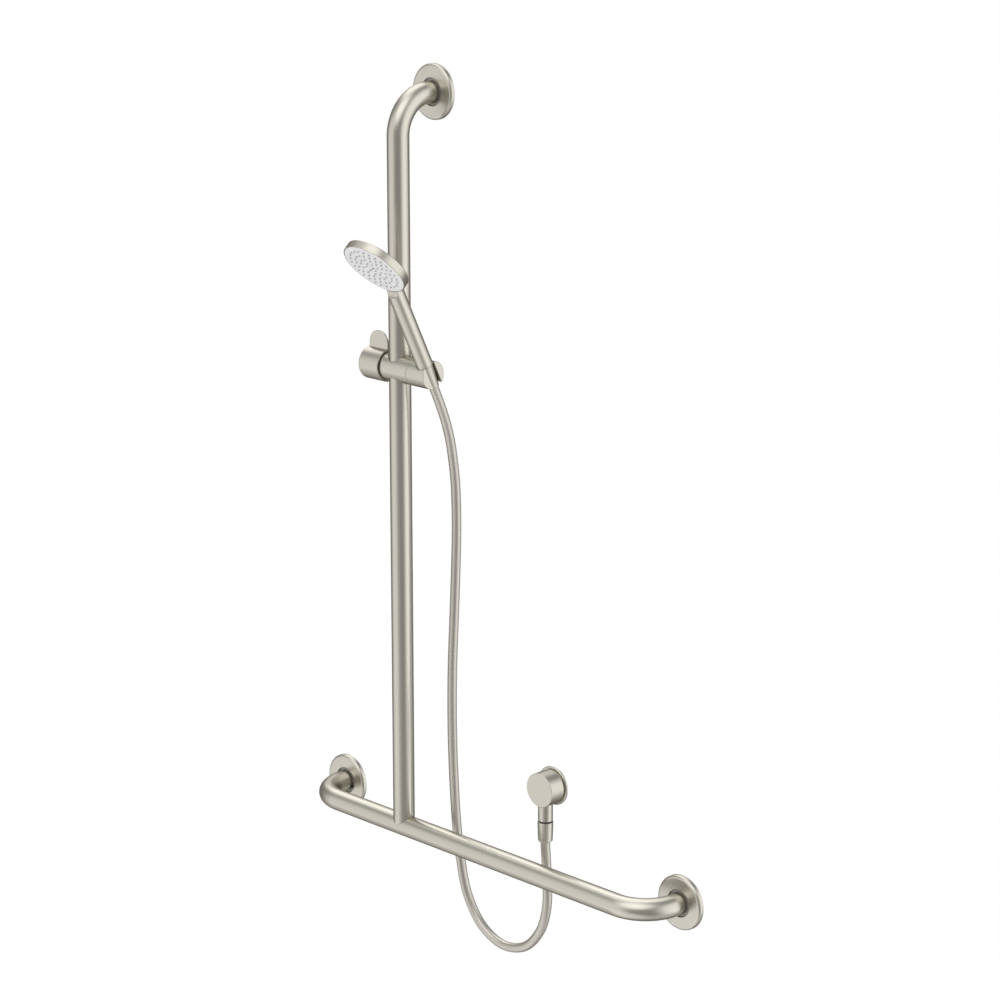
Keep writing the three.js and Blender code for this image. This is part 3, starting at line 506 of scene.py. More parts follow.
def smooth_path(points, steps):
    """A centripetal Catmull-Rom curve through points."""
    ends = [2 * points[0] - points[1]] + points + [2 * points[-1] - points[-2]]
    path = [points[0]]
    for a, b, c, d in zip(ends, ends[1:], ends[2:], ends[3:]):
        before, span, after = ((q - p).length ** 0.5 for p, q in ((a, b), (b, c), (c, d)))
        start = ((b - a) / before - (c - a) / (before + span) + (c - b) / span) * span
        end = ((c - b) / span - (d - b) / (span + after) + (d - c) / after) * span
        for step in range(1, steps + 1):
            t = step / steps
            path.append(
                b * (2 * t**3 - 3 * t**2 + 1)
                + start * (t**3 - 2 * t**2 + t)
                + c * (3 * t**2 - 2 * t**3)
                + end * (t**3 - t**2)
            )
    return path


# ---------------------------------------------------------------- pieces

def made(name, shape, place=Matrix.Identity(4)):
    """An object of a shape, put in place and scaled to metres."""
    mesh = bpy.data.meshes.new(name)
    to_metres = Matrix.Scale(MM, 4) @ place
    mesh.from_pydata([tuple(to_metres @ Vector(p)) for p in shape.points], [], shape.faces)
    layer = mesh.uv_layers.new(name="UVMap")
    corner = 0
    for places in shape.places:
        for u, v in places:
            layer.data[corner].uv = (u * MM, v * MM)
            corner += 1
    work = bmesh.new()
    work.from_mesh(mesh)
    bmesh.ops.recalc_face_normals(work, faces=work.faces)
    work.to_mesh(mesh)
    work.free()
    piece = bpy.data.objects.new(name, mesh)
    bpy.context.collection.objects.link(piece)
    return piece


def settled(piece):
    """Turns a piece's modifiers into its mesh."""
    graph = bpy.context.evaluated_depsgraph_get()
    seen = piece.evaluated_get(graph)
    mesh = bpy.data.meshes.new_from_object(seen, preserve_all_data_layers=True, depsgraph=graph)
    piece.modifiers.clear()
    piece.data = mesh
    return piece


def combined(piece, operation, tools):
    """Cuts tools from a piece, or joins them to it, and removes them."""
    for tool in tools:
        step = piece.modifiers.new("combine", "BOOLEAN")
        step.operation = operation
        step.solver = "EXACT"
        step.object = tool
    settled(piece)
    for tool in tools:
        bpy.data.objects.remove(tool)
    return piece


def softened(piece, width, segments=2):
    """Breaks a piece's sharp edges by a width in millimetres."""
    work = bmesh.new()
    work.from_mesh(piece.data)
    bmesh.ops.remove_doubles(work, verts=work.verts, dist=MERGE_DISTANCE * MM)
    work.to_mesh(piece.data)
    work.free()
    step = piece.modifiers.new("edges", "BEVEL")
    step.width = width * MM
    step.segments = segments
    step.limit_method = "ANGLE"
    step.angle_limit = SHARP_ANGLE
    return settled(piece)


def surfaced(piece, slot):
    """Smooths a piece and gives it its material."""
    piece.data.shade_smooth()
    piece.data.set_sharp_from_angle(angle=SHARP_ANGLE)
    piece.data.materials.clear()
    piece.data.materials.append(MATERIALS[slot])


def finished(piece, body, slot, node):
    """Surfaces a piece and puts it on its body in place of a CAD node."""
    surfaced(piece, slot)
    weighting = piece.modifiers.new("normals", "WEIGHTED_NORMAL")
    weighting.keep_sharp = True
    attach(piece, body)
    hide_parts(node)


# ---------------------------------------------------------------- materials

# The Mix node's sockets for colours, by number because their names come more than once
MIX_FACTOR = 0
MIX_FIRST = 6
MIX_SECOND = 7
MIX_RESULT = 2

# Texture scales are per metre, heights are in metres
BRUSH_ROUND = 60  # how fine the brush lines are round a piece
BRUSH_ALONG = 5200  # and along its profile
BRUSH_GLOSS = 0.012  # how much they change the roughness
BRUSH_BUMP = 0.015
BRUSH_HEIGHT = 0.00006
METAL_CLOUDS = 9.0
METAL_TINT = 0.015
METAL_GLOSS = 0.01
PLASTIC_CLOUDS = 25.0
PLASTIC_TINT = 0.04
PLASTIC_GLOSS = 0.04
PLASTIC_HEIGHT = 0.0002
WINDING_ROUND = 5
WINDING_ALONG = 60
WINDING_BUMP = 0.07
WINDING_HEIGHT = 0.0001
HOSE_CLOUDS = 40


class Nodes:
    """A material's node tree, with short ways to add to it."""

    def __init__(self, name):
        self.material = bpy.data.materials.new(name)
        self.material.use_nodes = True
        self.tree = self.material.node_tree
        self.shader = self.tree.nodes["Principled BSDF"]

    def add(self, kind, **values):
        node = self.tree.nodes.new(kind)
        for key, value in values.items():
            if hasattr(node, key):
                setattr(node, key, value)
            else:
                node.inputs[key.replace("_", " ").title()].default_value = value
        return node

    def link(self, source, target):
        self.tree.links.new(source, target)

    def surface(self, across, along):
        """Places on the surface, stretched: across runs round the piece and along runs along its profile."""
        places = self.add("ShaderNodeTexCoord")
        mapping = self.add("ShaderNodeMapping")
        mapping.inputs["Scale"].default_value = (across, along, 1)
        self.link(places.outputs["UV"], mapping.inputs["Vector"])
        return mapping.outputs["Vector"]

    def room(self):
        """Places in the object's own space."""
        return self.add("ShaderNodeTexCoord").outputs["Object"]

    def noise(self, places, scale, detail=2.0):
        node = self.add("ShaderNodeTexNoise", scale=scale, detail=detail)
        self.link(places, node.inputs["Vector"])
        return node.outputs["Fac"]

    def spread(self, value, low, high, start=0.3, end=0.7):
        """A value between start and end, brought to between low and high."""
        node = self.add("ShaderNodeMapRange")
        node.inputs["From Min"].default_value = start
        node.inputs["From Max"].default_value = end
        node.inputs["To Min"].default_value = low
        node.inputs["To Max"].default_value = high
        self.link(value, node.inputs["Value"])
        return node.outputs["Result"]

    def blend(self, value, first, second):
        """The first colour where the value is 0, the second where it is 1."""
        node = self.add("ShaderNodeMix", data_type="RGBA")
        node.inputs[MIX_FIRST].default_value = (*first, 1)
        node.inputs[MIX_SECOND].default_value = (*second, 1)
        self.link(value, node.inputs[MIX_FACTOR])
        return node.outputs[MIX_RESULT]

    def bump(self, height, strength, distance):
        node = self.add("ShaderNodeBump", strength=strength, distance=distance)
        self.link(height, node.inputs["Height"])
        return node.outputs["Normal"]

    def set(self, **values):
        for key, value in values.items():
            self.shader.inputs[key.replace("_", " ")].default_value = value


def shade(colour, share):
    return tuple(part * share for part in colour)


def brushed_metal(name, colour, roughness, edge_tint, grain=1.0, metallic=1.0):
    """Metal with fine turned brush lines, and faint clouding in its colour and gloss."""
    nodes = Nodes(name)
    nodes.set(Metallic=metallic, Specular_Tint=(*edge_tint, 1))
    lines = nodes.noise(nodes.surface(BRUSH_ROUND, BRUSH_ALONG), 1.0, 4.0)
    clouds = nodes.noise(nodes.room(), METAL_CLOUDS, 3.0)
    dark = shade(colour, 1 - METAL_TINT)
    light = shade(colour, 1 + METAL_TINT)
    nodes.link(nodes.blend(nodes.spread(clouds, 0, 1), dark, light), nodes.shader.inputs["Base Color"])
    gloss = nodes.add("ShaderNodeMath", operation="ADD")
    nodes.link(nodes.spread(lines, -BRUSH_GLOSS * grain, BRUSH_GLOSS * grain), gloss.inputs[0])
    nodes.link(nodes.spread(clouds, roughness - METAL_GLOSS, roughness + METAL_GLOSS), gloss.inputs[1])
    nodes.link(gloss.outputs[0], nodes.shader.inputs["Roughness"])
    nodes.link(nodes.bump(lines, BRUSH_BUMP * grain, BRUSH_HEIGHT), nodes.shader.inputs["Normal"])
    return nodes.material


def moulded(name, colour, roughness, bump=0.06, scale=900.0, specular=0.5):
    """Moulded plastic or rubber with a fine skin."""
    nodes = Nodes(name)
    nodes.set(Specular_IOR_Level=specular)
    skin = nodes.noise(nodes.room(), scale, 2.0)
    clouds = nodes.noise(nodes.room(), PLASTIC_CLOUDS, 2.0)
    dark = shade(colour, 1 - PLASTIC_TINT)
    light = shade(colour, 1 + PLASTIC_TINT)
    nodes.link(nodes.blend(nodes.spread(clouds, 0, 1), dark, light), nodes.shader.inputs["Base Color"])
    gloss = nodes.spread(skin, roughness - PLASTIC_GLOSS, roughness + PLASTIC_GLOSS)
    nodes.link(gloss, nodes.shader.inputs["Roughness"])
    nodes.link(nodes.bump(skin, bump, PLASTIC_HEIGHT), nodes.shader.inputs["Normal"])
    return nodes.material


def hose_skin(name, colour):
    """A smooth clear-skinned hose over a fine metallic winding."""
    nodes = Nodes(name)
    nodes.set(Metallic=0.85, Specular_Tint=(0.6, 0.58, 0.54, 1), Coat_Weight=0.25, Coat_Roughness=0.2)
    wave = nodes.add("ShaderNodeTexWave", wave_type="BANDS", bands_direction="Y", scale=1.0, distortion=0.0)
    nodes.link(nodes.surface(WINDING_ROUND, WINDING_ALONG), wave.inputs["Vector"])
    winding = wave.outputs["Fac"]
    clouds = nodes.noise(nodes.surface(HOSE_CLOUDS, HOSE_CLOUDS), 1.0, 3.0)
    tone = nodes.add("ShaderNodeMath", operation="MULTIPLY")
    nodes.link(nodes.spread(winding, 0.8, 1.0, 0.0, 1.0), tone.inputs[0])
    nodes.link(nodes.spread(clouds, 0.9, 1.0), tone.inputs[1])
    dark = shade(colour, 0.82)
    light = shade(colour, 1.04)
    nodes.link(nodes.blend(tone.outputs[0], dark, light), nodes.shader.inputs["Base Color"])
    nodes.link(nodes.spread(clouds, 0.30, 0.38), nodes.shader.inputs["Roughness"])
    nodes.link(nodes.bump(winding, WINDING_BUMP, WINDING_HEIGHT), nodes.shader.inputs["Normal"])
    return nodes.material


NICKEL = (0.625, 0.600, 0.535)
NICKEL_EDGE = (0.50, 0.47, 0.42)

MATERIALS = {
    "satin_nickel": brushed_metal("satin_nickel", NICKEL, 0.30, NICKEL_EDGE),
    "plated_shell": brushed_metal("plated_shell", shade(NICKEL, 1.01), 0.29, NICKEL_EDGE, 0.7),
    # Wall plates and screws: matte zinc-plated steel, its colour also darkened below plain steel as painted
    # shade, so the plate seen through each cover's hole round the tube reads as a dark recess
    "fixing_steel": brushed_metal("fixing_steel", (0.40, 0.385, 0.36), 0.60, (0.4, 0.4, 0.4), 1.0, 0.3),
    "brass": brushed_metal("brass", (0.58, 0.42, 0.20), 0.30, (0.5, 0.4, 0.25)),
    "dark_rubber": moulded("dark_rubber", (0.018, 0.017, 0.016), 0.55, 0.1, 2500.0),
    "white_plastic": moulded("white_plastic", (0.74, 0.73, 0.70), 0.42),
    "face_white": moulded("face_white", (0.785, 0.782, 0.782), 0.36, 0.04),
    "nozzle_grey": moulded("nozzle_grey", (0.50, 0.50, 0.505), 0.6, 0.1, 1800.0, 0.3),
    "hose_skin": hose_skin("hose_skin", (0.565, 0.54, 0.485)),
}

# ---------------------------------------------------------------- hose

# Each stretch: its name, the route's points it runs from and to, and the bodies above and below it
HOSE_STRETCHES = [
    ("hose_upper_end", 0, 4, "hose_end", "holder"),
    ("hose_upper_bend", 4, 9, "holder", "slider"),
    ("hose_main_run", 9, 26, "slider", "root"),
]


def add_hose():
    path = smooth_path([Vector(point) / MM for point in HOSE_ROUTE], HOSE_STEPS_PER_SPAN)
    line = stations(path)
    for name, first, last, upper, lower in HOSE_STRETCHES:
        part = line[first * HOSE_STEPS_PER_SPAN:last * HOSE_STEPS_PER_SPAN + 1]
        piece = made(name, swept(part, HOSE_DIAMETER / 2, HOSE_SIDES))
        surfaced(piece, "hose_skin")
        if lower == "root":
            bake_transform(piece)
        else:
            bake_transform(piece)
        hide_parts("shower_hose")


# ---------------------------------------------------------------- rail

def add_upright():
    """The vertical tube, whose foot is coped to the lower tube."""
    cope = TUBE_RADIUS + GAP
    path = bent_path([
        Vector((0, RAIL_Y, LOWER_Z + math.sqrt(cope**2 - TUBE_RADIUS**2))),
        Vector((0, RAIL_Y, 0)),
        Vector((0, TUBE_END_Y, 0)),
    ])
    tube = swept(stations(path), TUBE_RADIUS, TUBE_SIDES)
    for i in range(TUBE_SIDES):
        x, y, _ = tube.points[i]
        tube.points[i] = (x, y, LOWER_Z + math.sqrt(cope**2 - (y - RAIL_Y) ** 2))
    finished(made("upright_rail", tube), "root", "satin_nickel", "vertical_tube")


def add_lower_rail():
    path = bent_path([
        Vector((LEFT_X, TUBE_END_Y, LOWER_Z)),
        Vector((LEFT_X, RAIL_Y, LOWER_Z)),
        Vector((RIGHT_X, RAIL_Y, LOWER_Z)),
        Vector((RIGHT_X, TUBE_END_Y, LOWER_Z)),
    ])
    tube = swept(stations(path), TUBE_RADIUS, TUBE_SIDES)
    finished(made("lower_rail", tube), "root", "satin_nickel", "lower_tube")


def add_cover(side, place):
    """A cup with a wide flat front, a rounded edge and a hole for the tube."""
    inside = COVER_RADIUS - COVER_WALL
    inner_front = -COVER_DEPTH + COVER_WALL
    cup = turned([
        (COVER_HOLE, -COVER_DEPTH, SMALL_EDGE),
        (COVER_RADIUS, -COVER_DEPTH, COVER_EDGE),
        (COVER_RADIUS, -GAP, TIGHT_EDGE),
        (inside, -GAP),
        (inside, inner_front, COVER_EDGE - COVER_WALL),
        (COVER_HOLE, inner_front, TIGHT_EDGE),
    ])
    cover = made(side + "_cover_cup", cup, place @ along_y())
    finished(cover, side + "_cover", "satin_nickel", side + "_flange_cover")


def screw_places():
    for i in range(SCREWS_PER_PLATE):
        angle = math.pi / 2 + 2 * math.pi * i / SCREWS_PER_PLATE
        yield SCREW_CIRCLE_RADIUS * math.cos(angle), SCREW_CIRCLE_RADIUS * math.sin(angle)


def add_plate(side, place):
    disc = turned([
        (0, -PLATE_THICKNESS),
        (PLATE_RADIUS, -PLATE_THICKNESS, ROUND_EDGE),
        (PLATE_RADIUS, 0, ROUND_EDGE),
        (0, 0),
    ])
    sink = turned(
        [
            (0, -PLATE_THICKNESS - PAST),
            (PLATE_SINK_RADIUS, -PLATE_THICKNESS - PAST),
            (PLATE_SINK_RADIUS, -PLATE_THICKNESS),
            (PLATE_HOLE_RADIUS, SINK_FLOOR),
            (PLATE_HOLE_RADIUS, PAST),
            (0, PAST),
        ],
        SMALL_SEGMENTS,
    )
    plate = made(side + "_plate_disc", disc, place @ along_y())
    tools = [made("sink", sink, place @ moved(x, 0, z) @ along_y()) for x, z in screw_places()]
    combined(plate, "DIFFERENCE", tools)
    finished(plate, "root", "fixing_steel", side + "_wall_plate")


def add_screws(side, place):
    """Countersunk screws with hexagon sockets, which stop short of the wall."""
    head = turned(
        [
            (0, -PLATE_THICKNESS),
            (SCREW_HEAD_RADIUS, -PLATE_THICKNESS, SCREW_HEAD_EDGE),
            (SCREW_SHANK_RADIUS, SINK_FLOOR),
            (SCREW_SHANK_RADIUS, -GAP, TIGHT_EDGE),
            (0, -GAP),
        ],
        SMALL_SEGMENTS,
    )
    angles = [math.pi * i / 3 for i in range(6)]
    hexagon = [(SOCKET_RADIUS * math.cos(angle), SOCKET_RADIUS * math.sin(angle)) for angle in angles]
    socket = prism(hexagon, -PLATE_THICKNESS - PAST, SOCKET_FLOOR)
    for number, (x, z) in enumerate(screw_places(), 1):
        here = place @ moved(x, 0, z) @ along_y()
        screw = made(f"{side}_screw_{number}", head, here)
        combined(screw, "DIFFERENCE", [made("socket", socket, here)])
        finished(screw, "root", "fixing_steel", f"{side}_wall_screw_{number}")


def add_wall_fixing(side, place):
    add_cover(side, place)
    add_plate(side, place)
    add_screws(side, place)


# ---------------------------------------------------------------- slider

def add_slider_body():
    barrel = turned([
        (0, SPIGOT_LEFT),
        (SPIGOT_RADIUS, SPIGOT_LEFT, SMALL_EDGE),
        (SPIGOT_RADIUS, SLIDER_LEFT),
        (SLIDER_RADIUS, SLIDER_LEFT, SMALL_EDGE),
        (SLIDER_RADIUS, SLIDER_RIGHT, JOINT_EDGE),
        (0, SLIDER_RIGHT),
    ])
    reach = SLIDER_RADIUS + 2 * PAST
    bore = turned([
        (0, -reach),
        (RAIL_BORE, -reach),
        (RAIL_BORE, -BUSH_BORE_HALF_HEIGHT),
        (BUSH_BORE, -BUSH_BORE_HALF_HEIGHT),
        (BUSH_BORE, BUSH_BORE_HALF_HEIGHT),
        (RAIL_BORE, BUSH_BORE_HALF_HEIGHT),
        (RAIL_BORE, reach),
        (0, reach),
    ])
    pad_bore = rod(PAD_BORE, SPIGOT_LEFT - 2 * PAST, -CROSS_BORE_END, SMALL_SEGMENTS)
    bolt_bore = rod(BOLT_BORE, CROSS_BORE_END, BOLT_BORE_RIGHT, SMALL_SEGMENTS)
    body = made("slider_barrel", barrel, SLIDER @ along_x())
    tools = [
        made("bore", bore, SLIDER),
        made("pad_bore", pad_bore, SLIDER @ along_x()),
        made("bolt_bore", bolt_bore, SLIDER @ along_x()),
    ]
    combined(body, "DIFFERENCE", tools)
    softened(body, CUT_EDGE)
    finished(body, "slider", "plated_shell", "slider_body")


def paddle_outline():
    """The thumb paddle from the front: a foot inside the knob, and a round top."""
    round_top = (PADDLE_RIGHT - PADDLE_LEFT) / 2
    outline = [
        (PADDLE_LEFT, PADDLE_FOOT),
        (KNOB_RIGHT, PADDLE_FOOT),
        (KNOB_RIGHT, KNOB_RADIUS),
        (PADDLE_RIGHT, KNOB_RADIUS),
    ]
    for i in range(PADDLE_ARC_STEPS + 1):
        angle = math.pi * i / PADDLE_ARC_STEPS
        outline.append((
            PADDLE_LEFT + round_top + round_top * math.cos(angle),
            PADDLE_TOP - round_top + round_top * math.sin(angle),
        ))
    return outline


def add_lock_knob():
    cup = turned([
        (0, KNOB_LEFT),
        (KNOB_RADIUS, KNOB_LEFT, KNOB_EDGE),
        (KNOB_RADIUS, KNOB_RIGHT, ROUND_EDGE),
        (KNOB_BORE, KNOB_RIGHT, FINE_EDGE),
        (KNOB_BORE, KNOB_BORE_LEFT),
        (SPINDLE_BORE, KNOB_BORE_LEFT),
        (SPINDLE_BORE, SPINDLE_BORE_LEFT),
        (0, SPINDLE_BORE_LEFT),
    ])
    knob = made("lock_cup", cup, SLIDER @ along_x())
    upright = SLIDER @ Matrix.Rotation(math.pi / 2, 4, "X")
    paddle = made("paddle", prism(paddle_outline(), *PADDLE_DEPTHS), upright)
    combined(knob, "UNION", [softened(paddle, PADDLE_EDGE, 3)])
    finished(knob, "lock_lever", "plated_shell", "lock_knob")


def add_knob_ring():
    left = KNOB_RIGHT + GAP
    right = SLIDER_LEFT - GAP
    ring = turned([
        (KNOB_BORE, left),
        (SLIDER_RADIUS, left, TIGHT_EDGE),
        (SLIDER_RADIUS, right, TIGHT_EDGE),
        (KNOB_BORE, right),
    ])
    finished(made("lock_ring", ring, SLIDER @ along_x()), "slider", "dark_rubber", "knob_ring")


def holder_cuts():
    """The cone seat, the slot that the hose goes in by, and the room for washer and bolt."""
    reach = 2 * SLIDER_RADIUS
    seat = turned([
        (0, -reach),
        (SEAT_BOTTOM_RADIUS, -reach),
        (SEAT_BOTTOM_RADIUS, SEAT_BOTTOM),
        (SEAT_TOP_RADIUS, SEAT_TOP),
        (CUP_RADIUS, SEAT_TOP),
        (CUP_RADIUS, reach),
        (0, reach),
    ])
    half_slot = SLOT_WIDTH / 2
    slot_end = HOLDER_RIGHT - HANDSET_X + 2 * PAST
    slot_outline = [(0, -half_slot), (slot_end, -half_slot), (slot_end, half_slot), (0, half_slot)]
    return [
        made("seat", seat, HANDSET),
        made("slot", prism(slot_outline, -reach, reach), HANDSET),
        made("pocket", rod(POCKET_RADIUS, *POCKET_ENDS), SLIDER @ along_x()),
        made("bolt_hole", rod(BOLT_BORE, *HOLDER_BOLT_ENDS, SMALL_SEGMENTS), SLIDER @ along_x()),
        made("head_hole", rod(BOLT_HEAD_BORE, *BOLT_HEAD_ENDS, SMALL_SEGMENTS), SLIDER @ along_x()),
    ]


def add_holder():
    shell = turned([
        (0, HOLDER_LEFT),
        (SLIDER_RADIUS, HOLDER_LEFT, JOINT_EDGE),
        (SLIDER_RADIUS, HOLDER_RIGHT, HOLDER_EDGE),
        (0, HOLDER_RIGHT),
    ])
    holder = made("holder_shell", shell, SLIDER @ along_x())
    combined(holder, "DIFFERENCE", holder_cuts())
    softened(holder, CUT_EDGE)
    finished(holder, "holder", "plated_shell", "handset_holder")


# ---------------------------------------------------------------- handset

def add_cone_nut():
    nut = turned([
        (HOSE_HOLE, SEAT_BOTTOM, TIGHT_EDGE),
        (NUT_BOTTOM_RADIUS, SEAT_BOTTOM, NUT_BOTTOM_EDGE),
        (NUT_TOP_RADIUS, NUT_TOP, ROUND_EDGE),
        (NUT_THREAD_RADIUS, NUT_TOP),
        (NUT_THREAD_RADIUS, NUT_SHOULDER),
        (HOSE_HOLE, NUT_SHOULDER),
    ])
    finished(made("cone_nut", nut, HANDSET), "handset", "satin_nickel", "hose_cone_nut")


def head_profile(margin, front, edge):
    """The head's outside, larger all round by a margin: a rim from its front, and a shallow domed back."""
    rim = HEAD_RADIUS + margin
    back = -HEAD_RIM_DEPTH - margin
    corners = [(rim, front, edge), (rim, back, HEAD_EDGE)]
    for i in range(1, DOME_STEPS + 1):
        share = 1 - i / DOME_STEPS
        corners.append((rim * share, back - HEAD_DOME * (1 - share * share)))
    return corners


def scoop_outline(side):
    """From the side, what is cut from the handle's front below the head: a quarter of a circle."""
    rim_foot = FACE_FORWARD + HEAD_RADIUS * math.sin(FACE_TILT)
    rim_foot_along = FACE_ALONG - HEAD_RADIUS * math.cos(FACE_TILT)
    centre = -side - SCOOP_OUT
    radius = rim_foot - centre
    outline = [(centre, HANDLE_TOP + PAST), (rim_foot, HANDLE_TOP + PAST)]
    for step in range(SCOOP_STEPS + 1):
        angle = math.pi / 2 * step / SCOOP_STEPS
        outline.append((centre + radius * math.cos(angle), rim_foot_along - radius * math.sin(angle)))
    return outline


def add_handle():
    grip = turned([
        (0, HANDLE_BOTTOM),
        (HANDLE_RADIUS, HANDLE_BOTTOM, HANDLE_EDGE),
        (HANDLE_RADIUS, GROOVE_ALONG - GROOVE_HALF_WIDTH, GROOVE_EDGE),
        (HANDLE_RADIUS - GROOVE_DEPTH, GROOVE_ALONG),
        (HANDLE_RADIUS, GROOVE_ALONG + GROOVE_HALF_WIDTH, GROOVE_EDGE),
        (HANDLE_RADIUS, HANDLE_TOP),
        (0, HANDLE_TOP),
    ])
    handle = made("handle_grip", grip, HANDSET)
    side = HANDLE_RADIUS + PAST
    sideways = HANDSET @ Matrix.Rotation(math.pi / 2, 4, "Z") @ Matrix.Rotation(math.pi / 2, 4, "X")
    slope = [
        (side, SLOPE_BOTTOM),
        (side, HANDLE_TOP + PAST),
        (-side, HANDLE_TOP + PAST),
        (-side, SLOPE_TOP),
        (SLOPE_FORWARD, SLOPE_TOP),
    ]
    before_face = [(0, HEAD_RADIUS), (HEAD_RADIUS + HEAD_ROOM, HEAD_RADIUS)]
    tools = [
        made("scoop", prism(scoop_outline(side), -side, side), sideways),
        made("slope", prism(slope, -side, side), sideways),
        made("head_room", turned(before_face + head_profile(HEAD_ROOM, HEAD_ROOM_FRONT, 0)), HEAD),
        made("bore", rod(HANDLE_BORE, HANDLE_BOTTOM - PAST, HANDLE_BORE_TOP), HANDSET),
    ]
    combined(handle, "DIFFERENCE", tools)
    softened(handle, FINE_EDGE)
    finished(handle, "handset", "plated_shell", "handset_handle")


def add_head():
    inside = [
        (0, INSIDE_MIDDLE),
        INSIDE_SLOPE,
        (HEAD_INSIDE, INSIDE_RIM, FINE_EDGE),
        (HEAD_INSIDE, 0, SMALL_EDGE),
    ]
    shell = turned(head_profile(0, 0, ROUND_EDGE) + inside)
    finished(made("head_casing", shell, HEAD), "handset", "plated_shell", "head_shell")
    finished(made("spray_face", face_shape(), HEAD), "handset", "face_white", "face_plate")


def add_nozzles():
    """All the nozzles on one soft mat."""
    nozzle = turned(
        [
            (0, NOZZLE_FOOT),
            (NOZZLE_FOOT_RADIUS, NOZZLE_FOOT),
            (NOZZLE_TIP_RADIUS, NOZZLE_TIP, SMALL_EDGE),
            (NOZZLE_MOUTH_RADIUS, NOZZLE_TIP),
            (NOZZLE_FLOOR_RADIUS, NOZZLE_FLOOR),
            (0, NOZZLE_FLOOR),
        ],
        NOZZLE_SEGMENTS,
    )
    mat = rod(MAT_RADIUS, *MAT_ENDS)
    for x, y in nozzle_places():
        mat.add(nozzle, moved(x, y, 0))
    finished(made("nozzles", mat, HEAD), "handset", "nozzle_grey", "nozzle_mat")


def nozzle_places():
    for radius, count in NOZZLE_RINGS:
        for i in range(count):
            angle = 2 * math.pi * (i + 0.5) / count
            yield radius * math.cos(angle), radius * math.sin(angle)


def face_shape():
    """The spray face: a disc with a rounded hole for every nozzle, from a filled outline."""
    curve = bpy.data.curves.new("face_outline", "CURVE")
    curve.dimensions = "2D"
    curve.fill_mode = "BOTH"
    curve.extrude = FACE_THICKNESS / 2 - FACE_EDGE
    curve.bevel_depth = FACE_EDGE
    curve.bevel_resolution = 2
    circles = [(0, 0, FACE_RADIUS - FACE_EDGE, SEGMENTS)]
    circles += [(x, y, FACE_HOLE_RADIUS + FACE_EDGE, HOLE_SEGMENTS) for x, y in nozzle_places()]
    for x, y, radius, steps in circles:
        spline = curve.splines.new("POLY")
        spline.points.add(steps - 1)
        spline.use_cyclic_u = True
        for i, point in enumerate(spline.points):
            angle = 2 * math.pi * i / steps
            point.co = (x + radius * math.cos(angle), y + radius * math.sin(angle), 0, 1)
    outline = bpy.data.objects.new("face_outline", curve)
    bpy.context.collection.objects.link(outline)
    mesh = bpy.data.meshes.new_from_object(outline)
    shape = Shape()
    shape.points = [(v.co.x, v.co.y, v.co.z - FACE_THICKNESS / 2) for v in mesh.vertices]
    for polygon in mesh.polygons:
        corners = list(polygon.vertices)
        shape.face(corners, [(shape.points[c][0], shape.points[c][1]) for c in corners])
    bpy.data.objects.remove(outline)
    return shape


# ---------------------------------------------------------------- elbow

def add_elbow_disc():
    disc = turned([
        (ELBOW_DISC_HOLE, -ELBOW_DISC_THICKNESS),
        (ELBOW_DISC_RADIUS, -ELBOW_DISC_THICKNESS, ELBOW_DISC_EDGE),
        (ELBOW_DISC_RADIUS, 0, TIGHT_EDGE),
        (ELBOW_DISC_HOLE, 0),
    ])
    finished(made("elbow_disc", disc, ELBOW @ along_y()), "root", "satin_nickel", "elbow_wall_disc")


def add_elbow():
    barrel = turned([
        (0, ELBOW_FRONT),
        (ELBOW_RADIUS, ELBOW_FRONT, ELBOW_EDGE),
        (ELBOW_RADIUS, ELBOW_STEP_FRONT, TIGHT_EDGE),
        (ELBOW_RADIUS - ELBOW_STEP_DEPTH, ELBOW_STEP_BACK),
        (ELBOW_RADIUS - ELBOW_STEP_DEPTH, ELBOW_BACK),
        (0, ELBOW_BACK),
    ])
    stub = turned([(0, STUB_BOTTOM), (STUB_RADIUS, STUB_BOTTOM, SMALL_EDGE), (STUB_RADIUS, 0), (0, 0)])
    drum = made("elbow_drum", barrel, ELBOW @ along_y())
    combined(drum, "UNION", [made("stub", stub, SPOUT)])
    tools = [
        made("inlet", rod(ELBOW_INLET_RADIUS, ELBOW_INLET_FRONT, PAST), ELBOW @ along_y()),
        made("way", rod(STUB_BORE, STUB_BOTTOM - PAST, 0), SPOUT),
        made("socket", rod(STUB_SOCKET, STUB_BOTTOM - PAST, STUB_BOTTOM + STUB_SOCKET_DEPTH), SPOUT),
    ]
    combined(drum, "DIFFERENCE", tools)
    finished(drum, "root", "satin_nickel", "elbow_body")


def add_lower_nut():
    """The nut at the hose's lower end, and the black ring above it."""
    bottom, top = RING_ENDS
    ring = turned([
        (THREAD_HOLE, bottom),
        (RING_RADIUS, bottom, FINE_EDGE),
        (RING_RADIUS, top, FINE_EDGE),
        (THREAD_HOLE, top),
    ])
    finished(made("stub_ring", ring, SPOUT), "root", "dark_rubber", "elbow_seal_ring")
    nut = turned([
        (THREAD_HOLE, LOWER_NUT_TOP),
        (LOWER_NUT_RADIUS, LOWER_NUT_TOP, ROUND_EDGE),
        (LOWER_NUT_END_RADIUS, LOWER_NUT_BOTTOM, LOWER_NUT_END_EDGE),
        (LOWER_NUT_HOLE, LOWER_NUT_BOTTOM, FINE_EDGE),
        (LOWER_NUT_HOLE, LOWER_NUT_SHOULDER),
        (THREAD_HOLE, LOWER_NUT_SHOULDER),
    ])
    finished(made("lower_nut_shell", nut, SPOUT), "lower_nut", "satin_nickel", "hose_lower_nut")


# ---------------------------------------------------------------- floor and light

FLOOR_DROP = 0.75  # metres below the hose's loop
FLOOR_HALF = 120  # half of its side, in metres
WHITE = 1.08  # how strongly all but the gloss is lit
BASE_LIGHT = 0.32  # what the gloss sees between the soft boxes
BOX_COLOUR = (1.0, 1.0, 0.99, 1)
